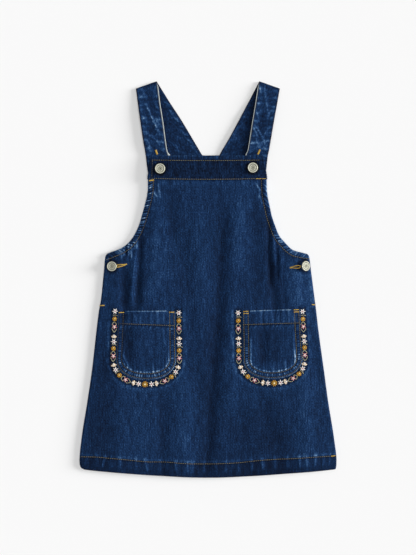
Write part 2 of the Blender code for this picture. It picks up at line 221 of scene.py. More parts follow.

# %% [markdown]
# ## Folds
#
# Laid-out denim keeps a few long soft folds. Each one here is placed one by one: where it starts and ends,
# how it bows, how wide and how high it is. A trough has a height below 0. Each fold also says how much it
# adds to the paleness of the cloth: in the troughs this is painted shade and on the crests painted highlight,
# and on the narrow puckers and streaks it is also wear rubbed pale. Its columns are the x and y of its upper
# end, those of its lower end, spread, height and paleness, and its bow where it isn't straight.

# %% Table of folds
FRONT_FOLDS = [
    # long trough down the middle
    (22, 128, 12, -112, 9, -1.4, -0.07), (22, 100, 12, -108, 4.6, -1, -0.06),
    (13, -35, -5, -294, 11, -1.5, -0.085), (13, -45, -4, -290, 5, -1.2, -0.06),
    (-25, -15, -3, -190, 7, -0.8, -0.03, -6), (34, 0, 30, -125, 6, 0.6, 0.045),
    (47, 154, 39, -10, 9, 1.5, 0.095), (67, 142, 72, -50, 8, -0.7, -0.06),
    (-15, 140, -8, -100, 7, 0.8, 0.035), (-36, 80, -28, -36, 6, -0.8, -0.045),
    (-2, 62, -4, -24, 5, 0.4, 0.025), (-36, -98, -31, -290, 9, 1.3, 0.065),
    (34, -70, 30, -190, 8, 0.8, 0.04), (72, -165, 76, -292, 26, -0.5, -0.06),
    (44, -165, 54, -290, 8, -0.6, -0.045), (70, -140, 66, -215, 6, 0.4, 0.03),
    # under the left armhole
    (-93.5, 70, -98, -50, 2.8, -2.4, -0.13), (-96, 22, -103, -60, 4, -1, -0.05),
    (-101.5, 42, -108, -42, 2.8, 1.5, 0.07), (-117, 24, -116, -62, 4.8, -2.4, -0.14),
    (-112, -30, -112, -120, 5.5, -1.2, -0.08),
    # under the right armhole
    (85, 94, 87.5, -22, 2.3, -2.8, -0.18), (88, 44, 96, -66, 4.6, -2, -0.13),
    (91, 68, 93.5, 12, 1.4, 1.3, 0.16), (96.5, 56, 98.5, -8, 1.5, -1.2, -0.11),
    (100.5, 52, 103, 2, 1.6, 0.8, 0.06), (104, 12, 108, -52, 3, -0.9, -0.05),
    (118, 44, 129, -50, 10, 1, 0.125), (139, 22, 143, -60, 4, 0.7, 0.04),
    (76, -42, 79, -125, 5.5, -1.2, -0.07),
    # bib
    (-71, 138, -76, -45, 7, 0.9, 0.075), (-51, 136, -48, 42, 5, -0.9, -0.07),
    (-62, 74, -58, -42, 7, 0.5, 0.04),
    # its left corner
    (-78, 125, -70, 114, 1.1, 0.7, 0.38), (-70, 136, -66, 111, 1.1, 0.5, 0.3),
    (-72, 139, -71, 121, 1.6, -0.8, -0.14), (-79, 137, -81, 124, 1.2, 0.3, 0.12),
    # its right corner
    (65.5, 137, 74, 123, 1, 0.5, 0.3), (73, 128, 71.5, 112, 1, 0.5, 0.2), (70.5, 120, 77, 103, 1, 0.5, 0.24),
    (75, 138, 78, 106, 1.8, -0.9, -0.14), (76.5, 135, 84, 126.5, 1.1, 0.5, 0.35),
    (76, 130, 84.5, 121, 1.1, 0.5, 0.35), (75.5, 123, 85, 114, 1.1, 0.5, 0.35),
    (76, 115.5, 86.5, 105, 1.1, 0.5, 0.3), (77, 109, 88, 99, 1.1, 0.4, 0.26),
    # gathers under the left armhole
    (-124, 46, -124, 28, 1.1, 0.5, 0.29), (-120.7, 48, -120.9, 28, 1.1, 0.5, 0.38),
    (-117.2, 49, -117.3, 31, 1.1, 0.6, 0.4), (-111.2, 54, -110.4, 30, 1.1, 0.7, 0.43),
    (-107, 54, -106.8, 26, 1.1, 0.7, 0.47), (-102.9, 56, -103, 40, 1.1, 0.5, 0.31),
    (-99.4, 60, -99.2, 41, 1.1, 0.6, 0.43), (-114.2, 54, -113.6, 30, 1.2, -0.7, -0.16),
    (-109, 56, -108.6, 28, 0.9, -0.5, -0.16), (-105, 56, -105, 30, 1, -0.5, -0.14),
    # skirt
    (-62, -145, -64, -290, 5.5, -1.3, -0.08), (-142, -70, -148, -290, 11, -1.2, -0.1),
    (-160, -150, -166, -285, 5, -0.6, -0.05), (-90, -140, -92, -280, 10, 0.6, 0.04),
    (-120, -135, -124, -285, 9, 0.8, 0.03), (66, -128, 114, -290, 10, -1.3, -0.065),
    (132, -105, 142, -288, 8, 1.2, 0.08), (152, -60, 160, -240, 5, -0.6, -0.03),
    (-118, 52, -144, 36, 3.5, 0, 0.12),
]


def fold_field(folds, x, y):
    """(height, paleness) of all folds: each is a bell across its own line, faded in and out along it."""
    height, pale = np.zeros(np.shape(x)), np.zeros(np.shape(x))
    for top_x, top_y, bottom_x, bottom_y, spread, fold_height, fold_pale, *bow in folds:
        t = (top_y - y) / (top_y - bottom_y)
        inside = np.clip(t, 0.0, 1.0)
        middle = top_x + (bottom_x - top_x) * inside + 4 * sum(bow) * inside * (1 - inside)
        shape = soft_step(4 * t) * soft_step(4 * (1 - t)) * bell((x - middle) / spread)
        height += fold_height * shape
        pale += fold_pale * shape
    return height, pale


# %% [markdown]
# ## Rope marks
#
# A seam shrinks more than the cloth beside it, so the cloth ropes: it stands up in short ridges across the
# seam, which the wash then rubs pale. The ridges come at a rough pitch, never an even one. `rope` gives
# such a row: the place along the seam is counted in pitches, and each ridge is a bell near its own whole
# number, moved off it by up to a fifth of a pitch, with its own strength. A `Rope` has the sizes of one
# such row: pitch and spread in mm, and how much its ridges add to the height and to the paleness.

# %% A row of ridges
Rope = namedtuple("Rope", "pitch spread height pale", defaults=(0.0, 0.0))


def rope(along, row, seed):
    """0 to 1: narrow uneven ridges about one pitch apart."""
    pitch, spread = row.pitch, row.spread
    ridge = np.round(along / pitch)
    place = ridge + 0.20 * np.sin(4.1 * ridge + 1.7 * np.sin(2.3 * ridge) + 5.0 * seed)
    strength = 0.76 + 0.24 * np.sin(2.4 * ridge + 1.9 * np.sin(1.3 * ridge + seed) + 7.3 * seed)
    return strength * bell((along - place * pitch) / spread)


def add_up(ropes, ridges):
    """(height, paleness) of several rows: each row's ridges times the two sizes under its name."""
    sizes = ("height", "pale")
    return [sum(getattr(ropes[name], size) * ridge for name, ridge in ridges.items()) for size in sizes]


# %% [markdown]
# The hem's marks are few and large enough to be placed one by one: where each one crosses the stitch, how
# strong it is and how far it leans.

# %% Ridges of the hem
HEM_RIDGES = [  # x, strength, lean
    (-169, 0.5, -0.3), (-155, 0.3, 0.0), (-144.5, 1.0, -0.25), (-135, 0.35, 0.0),
    (-123, 0.75, 0.0), (-111, 0.3, 0.1), (-100.8, 0.65, 0.0), (-87.5, 1.0, 0.25),
    (-67.2, 0.6, 0.0), (-58, 0.3, 0.0), (-45.5, 0.9, 0.15), (-29, 0.7, 0.0),
    (-22.4, 0.75, 0.1), (-5.6, 0.8, 0.0), (11.2, 0.45, 0.0), (25.2, 0.7, 0.0),
    (42, 0.65, 0.15), (60.2, 0.9, 0.1), (75.6, 1.0, 0.1), (93.4, 1.0, 0.0),
    (110.6, 0.75, 0.1), (127.4, 1.0, 0.1), (137.2, 0.65, 0.1), (149.8, 0.9, 0.0),
    (161, 0.6, 0.0), (170, 0.4, 0.0),
]
HEM_SPREAD = 1.35


def hem_ridges(x, under):
    """Sum of the ridges: x across, and the distance under the stitch, which leans each ridge."""
    return sum(strength * bell((x - at - lean * under) / HEM_SPREAD) for at, strength, lean in HEM_RIDGES)


# The stitch wanders a little on its way round the hem: places on the page, left to right.
HEM_PATH = [
    (-178.5, -247.8), (-155.7, -248.1), (-138.6, -249.8), (-123.2, -250.9), (-100.8, -253.2), (-83.3, -254.6),
    (-56.4, -255.2), (-34.3, -257.0), (-1.4, -257.8), (22.4, -257.1), (44.8, -255.9), (61.2, -253.9),
    (89.2, -251.6), (112.0, -250.6), (127.4, -249.7), (147.0, -248.1), (177.8, -246.7),
]


def above_hem_path(x, y):
    """Height of a place over the hem's stitch, negative below it."""
    return y - smooth(*np.array(HEM_PATH).T, x)


# %% [markdown]
# ## The height of the front
#
# The cloth of the front stands over the back with air between them. At its sides it rolls down to meet the
# back in the side seam, over the straps it is lifted by them, and elsewhere the folds shape it. `front_top`
# is the height of its upper face at any place on the page. All that lies on the front asks it for its own
# height: band, pockets, buttons and every stitch.

# %% Relief of the front
BACK_THICK = 1.0
PANEL = 1.0
GAP = 0.3
FRONT_LIFT = 5.2  # air under the front in the middle
SIDE_LIFT = 3.2  # and near the sides
LEAST_LIFT = 0.5
STRAP_LIFT = 4.8  # where the strap ends lie under the bib
STRAP_LIFT_FROM, STRAP_LIFT_FADE = 134.0, 46.0
SIDE_WIDTH = 26.0
ROLL_WIDTH = 3.6  # the side edge turns down over this width
BAND_BOTTOM = 140.0
ARM_BOTTOM = 30.0
ARM_STITCH = 7.5  # distance of the armhole's topstitch from the edge
ARM_FADE = 5.0
HEM_STITCH = 18.0
PLACKET_END = -36.0  # the side opening is closed below this
FRONT_ROPES = {
    "arm": Rope(3.6, 0.75, 0.30, 0.60),  # across the turned edges of the armholes
    "gather": Rope(5.4, 1.1, 0.70, 0.42),  # past their stitch, round the lower corners
    "bib": Rope(8.0, 1.6, 0.30, 0.10),  # past their stitch, beside the bib
    "band": Rope(7.0, 1.4, 0.25, 0.12),  # under the band
    "placket": Rope(8.5, 2.0, 0.50, 0.20),  # along the side openings
    "hem": Rope(None, HEM_SPREAD, 0.60, 0.30),  # placed one by one above
}
BLEACHED = Rope(3.7, 0.8, 0.0, 0.14)  # the pale line over the hem's stitch
TURNED_DARK = (0.34, 0.14)  # the left armhole's turned edge is drawn darker than the right one's
BELOW_DARK = 0.16  # and so is the cloth under the armholes
BIB_FROM, BIB_TO = 74.0, 132.0
GATHER_REACH = 4.0


def side_facts(x, y):
    """Distance from the nearer side edge, and length along it, for places on the page."""
    left, right = nearest(x, y, LEFT_SIDE), nearest(x, y, RIGHT_SIDE)
    return [np.where(np.asarray(x) < 0, one, other) for one, other in zip(left, right)]


def front_marks(x, level, side, along):
    """Rope marks of the front: (height in mm, paleness). Armholes, the cloth below them, plackets, hem."""
    is_left, ropes = x < 0, FRONT_ROPES
    seed = np.where(is_left, 0.4, 2.7)
    turned = np.sqrt(hump(side / ARM_STITCH)) * within(level, ARM_BOTTOM + 2, BAND_BOTTOM, ARM_FADE)
    low_arm = soft_step((80 - level) / 24)
    arm_share = np.where(is_left, 1.35 - 0.35 * low_arm, 0.20 + 0.70 * low_arm)
    inside = np.maximum(side - ARM_STITCH, 0)
    past_stitch = soft_step((side - ARM_STITCH) / 2)
    below = within(level, ARM_BOTTOM - 4, BIB_FROM, 8.0) * past_stitch
    beside_bib = within(level, BIB_FROM, BIB_TO, 8.0) * past_stitch
    near = np.exp(-inside / GATHER_REACH)
    opening = within(level, PLACKET_END, ARM_BOTTOM - 6, 4.0) * np.where(is_left, 0.35, 1.0)
    under_stitch = -above_hem_path(x, page_y(x, level))
    ridges = {
        "arm": np.minimum(1.25 * rope(along + 0.5 * side, ropes["arm"], seed), 1) * turned * arm_share,
        "gather": rope(along, ropes["gather"], seed + 1) * below * near * np.where(is_left, 0.7, 0.5),
        "bib": rope(along, ropes["bib"], seed + 2) * beside_bib * near,
        "band": rope(x, ropes["band"], 3.3) * bell((BAND_BOTTOM - 5.5 - level) / 3.5),
        "placket": rope(along, ropes["placket"], seed + 3) * hump(side / 7.0) * opening,
        "hem": hem_ridges(x, under_stitch) * within(under_stitch, -1.5, 9.5, 6.0),
    }
    height, pale = add_up(ropes, ridges)
    pale = pale - np.where(is_left, *TURNED_DARK) * turned - BELOW_DARK * below * np.exp(-inside / 7.0)
    bleached = (0.35 + rope(x, BLEACHED, 1.7)) * bell((under_stitch + 2.0) / 1.3)
    return height, pale + BLEACHED.pale * bleached


def beside_arm(level):
    """1 on the rows where the armholes' topstitch runs."""
    return within(level, ARM_BOTTOM - 6, BAND_BOTTOM, 3.0)


def front_relief(x, level, side, along):
    """Height of the front's upper face, from its rows: lift, folds, straps, roll of the sides, marks."""
    left, right = edges_at(FRONT_EDGES, level)
    inner = soft_step(np.minimum(x - left, right - x) / SIDE_WIDTH)
    folds, _ = fold_field(FRONT_FOLDS, x, level)
    lift = SIDE_LIFT + inner * (FRONT_LIFT - SIDE_LIFT) + (0.35 + 0.65 * inner) * folds
    lift = np.maximum(lift, LEAST_LIFT)
    over_straps = soft_step((level - STRAP_LIFT_FROM) / STRAP_LIFT_FADE + 1)
    lift = lift + (STRAP_LIFT - lift) * over_straps
    round_side = rolled(side / ROLL_WIDTH)
    open_edge = soft_step((level - ARM_BOTTOM) / 8)
    roll = round_side + (0.55 + 0.45 * round_side - round_side) * open_edge
    marks, _ = front_marks(x, level, side, along)
    groove = 0.45 * bell((side - ARM_STITCH) / 0.9) * beside_arm(level)
    groove = groove + 0.5 * bell(above_hem_path(x, page_y(x, level)) / 1.0)
    return BACK_THICK + lift * roll + PANEL + (marks - groove) * round_side


def front_top(x, y):
    """Height of the front's upper face at places on the page."""
    side, along = side_facts(x, y)
    return front_relief(x, level_of(x, y), side, along)


# %% [markdown]
# The buttons press the cloth down, and a ring of painted shadow darkens the cloth round each of them. So
# their places are needed before the cloth is made.

# %% Places of the buttons
Button = namedtuple("Button", "name x y radius neck lean dull on_band")
# The second-to-last number darkens a button's whole plating towards its tarnished colour: painted shade, used
# on the right side button.
BUTTONS = [
    Button("button_bib_left", -66.8, 154.7, 7.1, 1.2, 0.0, 0.0, True),
    Button("button_bib_right", 62.4, 155.9, 7.1, 1.2, 0.0, 0.0, True),
    Button("button_side_left", -133.8, 18.4, 6.8, 1.4, -7.0, 0.0, False),
    Button("button_side_right", 133.4, 18.8, 7.0, 3.4, 32.0, 0.35, False),
]


def button_shade(x, y, on_band):
    """A ring round each button on the band, or on the front: a bell over the distance from its centre."""
    near = [button for button in BUTTONS if button.on_band == on_band]
    return sum(bell((np.hypot(x - button.x, y - button.y) - button.radius - 0.6) / 1.5) for button in near)


# %% [markdown]
# ## The shape of the pockets
#
# A patch pocket is a plain piece with its edges turned in and sewn down twice, and a deeper hem across its
# mouth. Its outline is needed early, because the embroidery round it gathers the cloth of the front: under
# the thread the cloth gets painted shade, and beyond the thread it shows fine pale puckers.

# %% Outline of a pocket
# The mouth's middle, the turn in degrees, the widening of each side down to the round part, and the slope of
# the hem's stitch. A border has its distances on the left, below and on the right, where its two ends start
# below the mouth, and how far its middle is off to the right.
Border = namedtuple("Border", "left below right start_left start_right middle")
Patch = namedtuple("Patch", "side x y turn flare_left flare_right hem_slope border seed")
POCKETS = [
    Patch("left", -85.8, -43.6, 0.4, 3.2, 0.4, -0.045, Border(3.9, 6.7, 4.6, 0.6, 3.3, -2.0), 0.3),
    Patch("right", 88.0, -42.4, 1.8, 1.0, 1.6, 0.0, Border(6.0, 6.4, 3.4, 2.9, 3.8, 2.0), 2.2),
]
POCKET_WIDTH = 80.4
POCKET_SIDE, POCKET_DEPTH, POCKET_ROUND_POWER = 67.0, 96.0, 2.2
POCKET_THICK = 1.2
POCKET_HEM = 19.3  # distance of the hem's stitch from the mouth
BORDER_ROPE = Rope(2.9, 0.7, 0.0, 0.18)
BORDER_DARK = 0.17
OUTER_ROW, INNER_ROW = 1.8, 8.0  # distances of the two rows of topstitch from the edge


def to_page(patch, local_x, local_y):
    """From the pocket's own axes, origin in the middle of its mouth, to the page: a turn and a shift."""
    turn = math.radians(patch.turn)
    x = patch.x + local_x * math.cos(turn) - local_y * math.sin(turn)
    return x, patch.y + local_x * math.sin(turn) + local_y * math.cos(turn)


def to_pocket(patch, x, y):
    """From the page back to the pocket's own axes."""
    turn = math.radians(patch.turn)
    off_x, off_y = x - patch.x, y - patch.y
    return off_x * math.cos(turn) + off_y * math.sin(turn), off_y * math.cos(turn) - off_x * math.sin(turn)


def hem_of(patch, local_x):
    """Where the stitch of the mouth's hem runs, in the pocket's own axes."""
    return -POCKET_HEM + patch.hem_slope * local_x


def reach_of(patch, sign, local_y):
    """From the pocket's middle to its left (-1) or right (1) edge: it widens a little downwards."""
    flare = np.where(sign < 0, patch.flare_left, patch.flare_right)
    return POCKET_WIDTH / 2 + flare * np.clip(-local_y / POCKET_SIDE, 0, 1)


def pocket_outline(patch, left=0.0, below=None, right=None):
    """Down the left side, round the bottom, up the right side, moved outwards by up to three distances.

    The bottom is a superellipse: across is cos to the power 2 / p, depth is sin to the same power. Where
    the line turns, the squares of the outward normal share the move between side and bottom.
    """
    down = np.linspace(0, 1, 60)
    angle = np.linspace(math.pi, 0, 160)
    power = 2 / POCKET_ROUND_POWER
    across = np.sign(np.cos(angle)) * np.abs(np.cos(angle)) ** power
    bottom = -(POCKET_SIDE + (POCKET_DEPTH - POCKET_SIDE) * np.sin(angle) ** power)
    local_y = np.concatenate([-POCKET_SIDE * down[:-1], bottom, -POCKET_SIDE * down[::-1][1:]])
    sign = np.concatenate([np.full(59, -1.0), across, np.full(59, 1.0)])
    line = stacked(sign * reach_of(patch, sign, local_y), local_y)
    outward = -left_of(directions(line))
    beside = np.where(outward[:, 0] < 0, left, left if right is None else right)
    out = beside * outward[:, 0] ** 2 + (left if below is None else below) * outward[:, 1] ** 2
    return stacked(*to_page(patch, *(line + outward * out[:, None]).T))


def border_shade(x, y):
    """Painted shade under the embroidered border and fine pale puckers on its far side."""
    shade = np.zeros(np.shape(x))
    for patch in POCKETS:
        line = pocket_outline(patch, *patch.border[:3])
        centre_x, centre_y = to_page(patch, 0.0, -POCKET_DEPTH / 2)
        near = (np.abs(x - centre_x) < 62) & (np.abs(y - centre_y) < 68)
        distance, along = nearest(x[near], y[near], line)
        outside = np.hypot(x[near] - centre_x, y[near] - centre_y) > 41
        beside = soft_step((5 - to_pocket(patch, x[near], y[near])[1]) / 4)
        puckers = (rope(along, BORDER_ROPE, patch.seed + 5) + 0.2) * bell((distance - 7.6) / 1.8) * outside
        under = soft_step((6.5 - distance) / 2.0)
        shade[near] += (BORDER_ROPE.pale * puckers - BORDER_DARK * under) * beside
    return shade


# %% [markdown]
# ## From a grid of points to closed cloth
#
# Every cloth piece is a grid of points for its upper face and one for its under face. `closed_sheet` joins
# them round the rim, so the result is one closed body with all faces outwards. It could be an open surface
# with Solidify. Two grids were chosen because hems and turned edges are thicker than plain cloth, and the
# underside of the dress has to lie flat.
#
# Each vertex also carries three facts for the materials: its place on the unrolled cloth, in a UV map named
# `cloth`, how worn it is with the painted shade and painted highlight added in, and how much of the pale
# wrong side shows.

# %% Meshes from grids
SHARP_RIM = 60  # degrees


def put_in_scene(name, data):
    """An object for a mesh, a light or a camera, linked into the scene."""
    thing = bpy.data.objects.new(name, data)
    bpy.context.scene.collection.objects.link(thing)
    return thing


def finish_mesh(name, vertices, faces, sharp=None):
    """A mesh object from points in mm and lists of corners, smooth but for edges past the sharp angle."""
    mesh = bpy.data.meshes.new(name)
    mesh.from_pydata((vertices * MM).tolist(), [], faces)
    mesh.shade_smooth()
    if sharp:
        mesh.set_sharp_from_angle(angle=math.radians(sharp))
    return put_in_scene(name, mesh)


def numbered(*shape):
    """The numbers of a grid's points, in the grid's own shape."""
    return np.arange(math.prod(shape)).reshape(shape)


def grid_quads(rows, columns):
    """Corner numbers of a grid's quads, anticlockwise from above."""
    index = numbered(rows, columns)
    return stacked(index[:-1, :-1], index[:-1, 1:], index[1:, 1:], index[1:, :-1]).reshape(-1, 4)


def rim_ring(rows, columns):
    """Numbers of a grid's outer points, once round, anticlockwise."""
    index = numbered(rows, columns)
    return np.concatenate([index[0, :-1], index[:-1, -1], index[-1, :0:-1], index[:0:-1, 0]])


def two_faces(upper, under):
    """One list: all values of the upper grid, then every second row and column of the under grid."""
    return np.concatenate([grid.reshape(-1, *grid.shape[2:]) for grid in (upper, under[::2, ::2])])


def put_facts(thing, per_vertex, cloth):
    """Writes float attributes, one value a vertex, and the UV map named cloth, in metres."""
    mesh = thing.data
    for name, values in per_vertex.items():
        layer = mesh.attributes.new(name, "FLOAT", "POINT")
        layer.data.foreach_set("value", np.ascontiguousarray(values, dtype=np.float32))
    corners = np.empty(len(mesh.loops), dtype=np.int32)
    mesh.loops.foreach_get("vertex_index", corners)
    uv = mesh.uv_layers.new(name="cloth")
    uv.data.foreach_set("uv", np.ascontiguousarray(cloth[corners] * MM, dtype=np.float32).ravel())


def closed_sheet(name, top, under, cloth, wear_and_shade, ecru=None):
    """Upper grid, under grid turned over, and a band of faces between their rims.

    Nothing fine shows underneath, so the under grid keeps every second row and column. Each of its rim
    edges then faces two edges of the upper rim, and a face with five corners closes the gap.
    """
    rows, columns = top.shape[:2]
    coarse = under[::2, ::2].shape[:2]
    quads = grid_quads(rows, columns)
    under_quads = grid_quads(*coarse)[:, ::-1] + rows * columns
    ring, under_ring = rim_ring(rows, columns), rim_ring(*coarse) + rows * columns
    rim = stacked(ring[::2], under_ring, np.roll(under_ring, -1), np.roll(ring, -2)[::2], ring[1::2])
    vertices = two_faces(top, under)
    faces = quads.tolist() + under_quads.tolist() + rim.tolist()
    thing = finish_mesh(name, vertices, faces, sharp=SHARP_RIM)
    facts = {"wear_and_shade": wear_and_shade, "ecru": np.zeros_like(wear_and_shade) if ecru is None else ecru}
    put_facts(thing, {key: two_faces(value, value) for key, value in facts.items()}, two_faces(cloth, cloth))
    print(f"{name}: {len(vertices)} vertices, {2 * (len(quads) + len(under_quads)) + 3 * len(rim)} triangles")
    return thing


def flat_area(points):
    """Area of a grid seen from above, in square metres: half the cross product of each quad's diagonals."""
    a = points[1:, 1:, :2] - points[:-1, :-1, :2]
    b = points[1:, :-1, :2] - points[:-1, 1:, :2]
    return float(np.abs(a[..., 0] * b[..., 1] - a[..., 1] * b[..., 0]).sum() / 2 * MM * MM)


def declare_cloth(piece, node, slot, rests_on, width, length, area):
    """Attaches a cloth piece to its body, hides the node that it stands for, and prints its flat cut; the
    slot is not used.
    """
    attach(piece, "root")
    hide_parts(node)
    print(f"{piece.name}: cut {width * 1000:.0f} x {length * 1000:.0f} mm, {area * 1e4:.0f} cm2")


def lay_cloth(name, node, slot, rests_on, x, y, z, under_z, wear_and_shade):
    """A closed sheet between two heights over the same places, attached to its body with its flat cut
    printed.
    """
    points = stacked(x, y, z)
    piece = closed_sheet(name, points, stacked(x, y, under_z), points[..., :2], wear_and_shade)
    width, length, _ = (np.ptp(points.reshape(-1, 3), axis=0) * MM).tolist()
    declare_cloth(piece, node, slot, rests_on, width, length, flat_area(points))
    return piece


# %% [markdown]
# ## The front
#
# On the real dress this is one panel of washed denim, with a narrow turned edge at each armhole and a deeper
# turned hem. Its grid has more rows at the hem and beside the armholes, where the marks are fine, and its
# columns crowd towards the sides. The turned edges are drawn by making the wall thicker there.

# %% Grid of the front
FRONT_COLUMNS = 276
SIDE_CROWDING = 0.5
HEM_THICK = 1.9
ARM_THICK = 1.7


def crowded(count, crowding):
    """-1 to 1 in even steps, drawn towards the ends by mixing in a quarter sine wave."""
    even = np.linspace(-1, 1, count + 1)
    return even + crowding * (np.sin(even * math.pi / 2) - even)


def rows_of(*stretches):
    """Row heights, hem first: each stretch is (from, to, number of steps)."""
    rows = [np.linspace(start, end, steps + 1)[:-1] for start, end, steps in stretches]
    return np.concatenate(rows + [[stretches[-1][1]]])


def panel_grid(table, rows, columns, crowding, wrap=0.0):
    """Level, left edge, right edge and x for each point of a panel: even rows from edge to edge."""
    level = np.repeat(rows[:, None], columns + 1, axis=1)
    left, right = edges_at(table, level)
    x = (left + right) / 2 + ((right - left) / 2 + wrap) * crowded(columns, crowding)
    return level, left, right, x


front_rows = rows_of(
    (LOW, LOW + 22, 18), (LOW + 22, ARM_BOTTOM, 106), (ARM_BOTTOM, 141, 140), (141, BIB_TOP, 8)
)
level, _, _, x = panel_grid(FRONT_EDGES, front_rows, FRONT_COLUMNS, SIDE_CROWDING)
y = page_y(x, level)
side, along = side_facts(x, y)
top_z = front_relief(x, level, side, along)
over_path = above_hem_path(x, y)
at_arm = within(level, ARM_BOTTOM, BAND_BOTTOM, ARM_FADE)
turned_hem = soft_step(1 - over_path / 1.5)
turned_arm = soft_step((ARM_STITCH - side) / 1.0 + 1) * at_arm
thick = PANEL + (HEM_THICK - PANEL) * turned_hem + (ARM_THICK - PANEL) * turned_arm
_, pale = front_marks(x, level, side, along)
# The folds' paleness: painted shade in the troughs, painted highlight on the crests, pale wear on the
# puckers.
_, fold_wear_and_shade = fold_field(FRONT_FOLDS, x, level)
edge_pale = (0.02 + 0.26 * at_arm) * np.exp(-side / 0.8)
# Painted shade in the grooves along the armholes' and the hem's stitch.
stitch_shade = bell((side - ARM_STITCH) / 1.0) * beside_arm(level) + bell(over_path / 0.9)
hem_edge = np.exp(-(level - LOW) / 1.4)
front_wear_and_shade = pale + edge_pale + fold_wear_and_shade - 0.22 * stitch_shade - 0.11 * turned_hem - 0.10 * hem_edge
# A ring of painted shadow round each side button, and the border's painted shade round the pockets.
front_wear_and_shade = front_wear_and_shade - 0.30 * button_shade(x, y, False) + border_shade(x, y)
under_z = top_z - np.minimum(thick, top_z - BACK_THICK - 0.1)
front = lay_cloth("front", "front_panel", "denim", ["back"], x, y, top_z, under_z, front_wear_and_shade)

# %% [markdown]
# ## The back
#
# The back lies flat on the surface, so its underside is a plane with a few shallow creases that rise off
# it. Its armholes are cut deeper than the front's, which hides them from above.

# %% Back
BACK_TOP = 166.0
BACK_EDGES = [
    (BACK_TOP, -68, 66), (140, -69, 67), (100, -76, 74), (70, -90, 87), (50, -106, 102), (40, -124, 116),
    (36, -137, 132), (31, -143.4, 141.2),
] + [edge for edge in FRONT_EDGES if edge[0] < 31.0]
BACK_CREASES = [
    (-20, 120, 18, -270, 9, 0.35, 0.12, 4), (48, 90, 60, -250, 8, 0.3, 0.1, -5),
    (-80, 40, -70, -255, 8, 0.3, 0.1, 5), (118, 0, 132, -250, 9, 0.3, 0.1),
    (-128, -30, -140, -250, 8, 0.28, 0.09),
]
HEM_ROPE = Rope(17.0, 2.2, 0.0, 0.18)
back_rows = rows_of((LOW, LOW + 22, 10), (LOW + 22, ARM_BOTTOM, 70), (ARM_BOTTOM, 60, 24), (60, BACK_TOP, 40))
level, left, right, x = panel_grid(BACK_EDGES, back_rows, 120, 0.4)
from_side = np.minimum(x - left, right - x)
crease, crease_pale = fold_field(BACK_CREASES, x, level)
hem_line = bell((level - LOW - HEM_STITCH) / 0.9)
hem_rope = rope(x, HEM_ROPE, 4.0) * hump((level - LOW) / HEM_STITCH)
under = crease * soft_step(from_side / 12) + 0.12 * hem_line
back_wear = crease_pale + HEM_ROPE.pale * hem_rope - 0.12 * hem_line + 0.05 * np.exp(-from_side / 0.8)
back = lay_cloth(
    "back", "back_panel", "denim", [], x, page_y(x, level), under + BACK_THICK, under, back_wear
)

# %% [markdown]
# ## The band
#
# A straight folded strip finishes the top of the bib. It is darker than the panels, because two layers lie
# on each other and the wash reached it less. Its ends wrap round the bib's edges. The grid follows the
# front's own rows, moved up, and its lower edge bows down a little in the middle.

# %% Band
BAND_THICK = 1.7
BAND_SAG = 1.5
BAND_WRAP = 0.7  # how far the band stands out past the bib at each end
BAND_STITCH = 6.4  # distance of the upper topstitch from the top
BAND_RIPPLE = Rope(9.0, 2.2, 0.18)
BAND_FINE = Rope(3.1, 0.8, 0.0, 0.14)  # over the upper topstitch
BAND_LOW = Rope(4.4, 0.9, 0.0, 0.10)  # beside the lower edge
level, left, right, x = panel_grid(FRONT_EDGES, np.linspace(BAND_BOTTOM, BIB_TOP, 31), 160, 0.5, BAND_WRAP)
share = (level - BAND_BOTTOM) / (BIB_TOP - BAND_BOTTOM)
y = level - BAND_SAG * (1 - share) * (1 - (2 * (x - left) / (right - left) - 1) ** 2)


def band_top(x, y):
    """The front's height, a layer up, rounded at the band's own edges and dented along its stitches."""
    left, right = edges_at(FRONT_EDGES, y)
    inside = np.clip(x, left + ROLL_WIDTH, right - ROLL_WIDTH)
    from_end = np.minimum(x - left, right - x) + BAND_WRAP
    from_edge = np.minimum(np.minimum(BIB_TOP - y, y - BAND_BOTTOM + BAND_SAG), from_end)
    rounding = 0.9 * (1 - rolled(from_edge / 1.6))
    dent = 0.35 * bell((BIB_TOP - y - BAND_STITCH) / 0.9)
    swell = 0.25 * hump((y - BAND_BOTTOM) / (BIB_TOP - BAND_BOTTOM))
    ripple = BAND_RIPPLE.height * rope(x, BAND_RIPPLE, 5.0) * within(y, BAND_BOTTOM + 3, BIB_TOP, 3.0)
    top = front_top(inside, y) + BAND_THICK
    return top + swell - dent - rounding + ripple - 0.35 * button_shade(x, y, True)


z = band_top(x, y)
above_stitch = soft_step((level - BIB_TOP + BAND_STITCH) / 0.8)
low_rope = BAND_LOW.pale * rope(x, BAND_LOW, 8.0) * bell((level - BAND_BOTTOM - 4) / 3.0)
band_wear_and_shade = 0.16 * np.exp(-(BIB_TOP - level) / 0.8) + 0.05 * np.exp(-(level - BAND_BOTTOM) / 0.8)
band_wear_and_shade = band_wear_and_shade + above_stitch * (0.05 + BAND_FINE.pale * rope(x, BAND_FINE, 6.0)) + low_rope
# Painted shade in the groove of the upper stitch, and a ring of painted shadow round each bib button.
band_wear_and_shade = band_wear_and_shade - 0.12 * bell((BIB_TOP - level - BAND_STITCH) / 0.9) - 0.30 * button_shade(x, y, True)
band = lay_cloth(
    "band", "bib_band", "dark_denim", ["front"], x, y, z, z - BAND_THICK + 0.15, band_wear_and_shade
)

# %% [markdown]
# ## The straps
#
# Each strap is one strip. It comes up from the back, folds over at the shoulder and comes down in front,
# where it goes in under the band. Cross sections give its two edges and its height on the way. The wall is
# the same strip moved out along its own normals, which turn right over at the shoulder.

# %% Sections of the straps
STRAP = 1.5
STRAP_COLUMNS, RUN_ROWS, TURN_ROWS = 52, 170, 8
FRONT_RUN = RUN_ROWS + TURN_ROWS  # the front run's first row
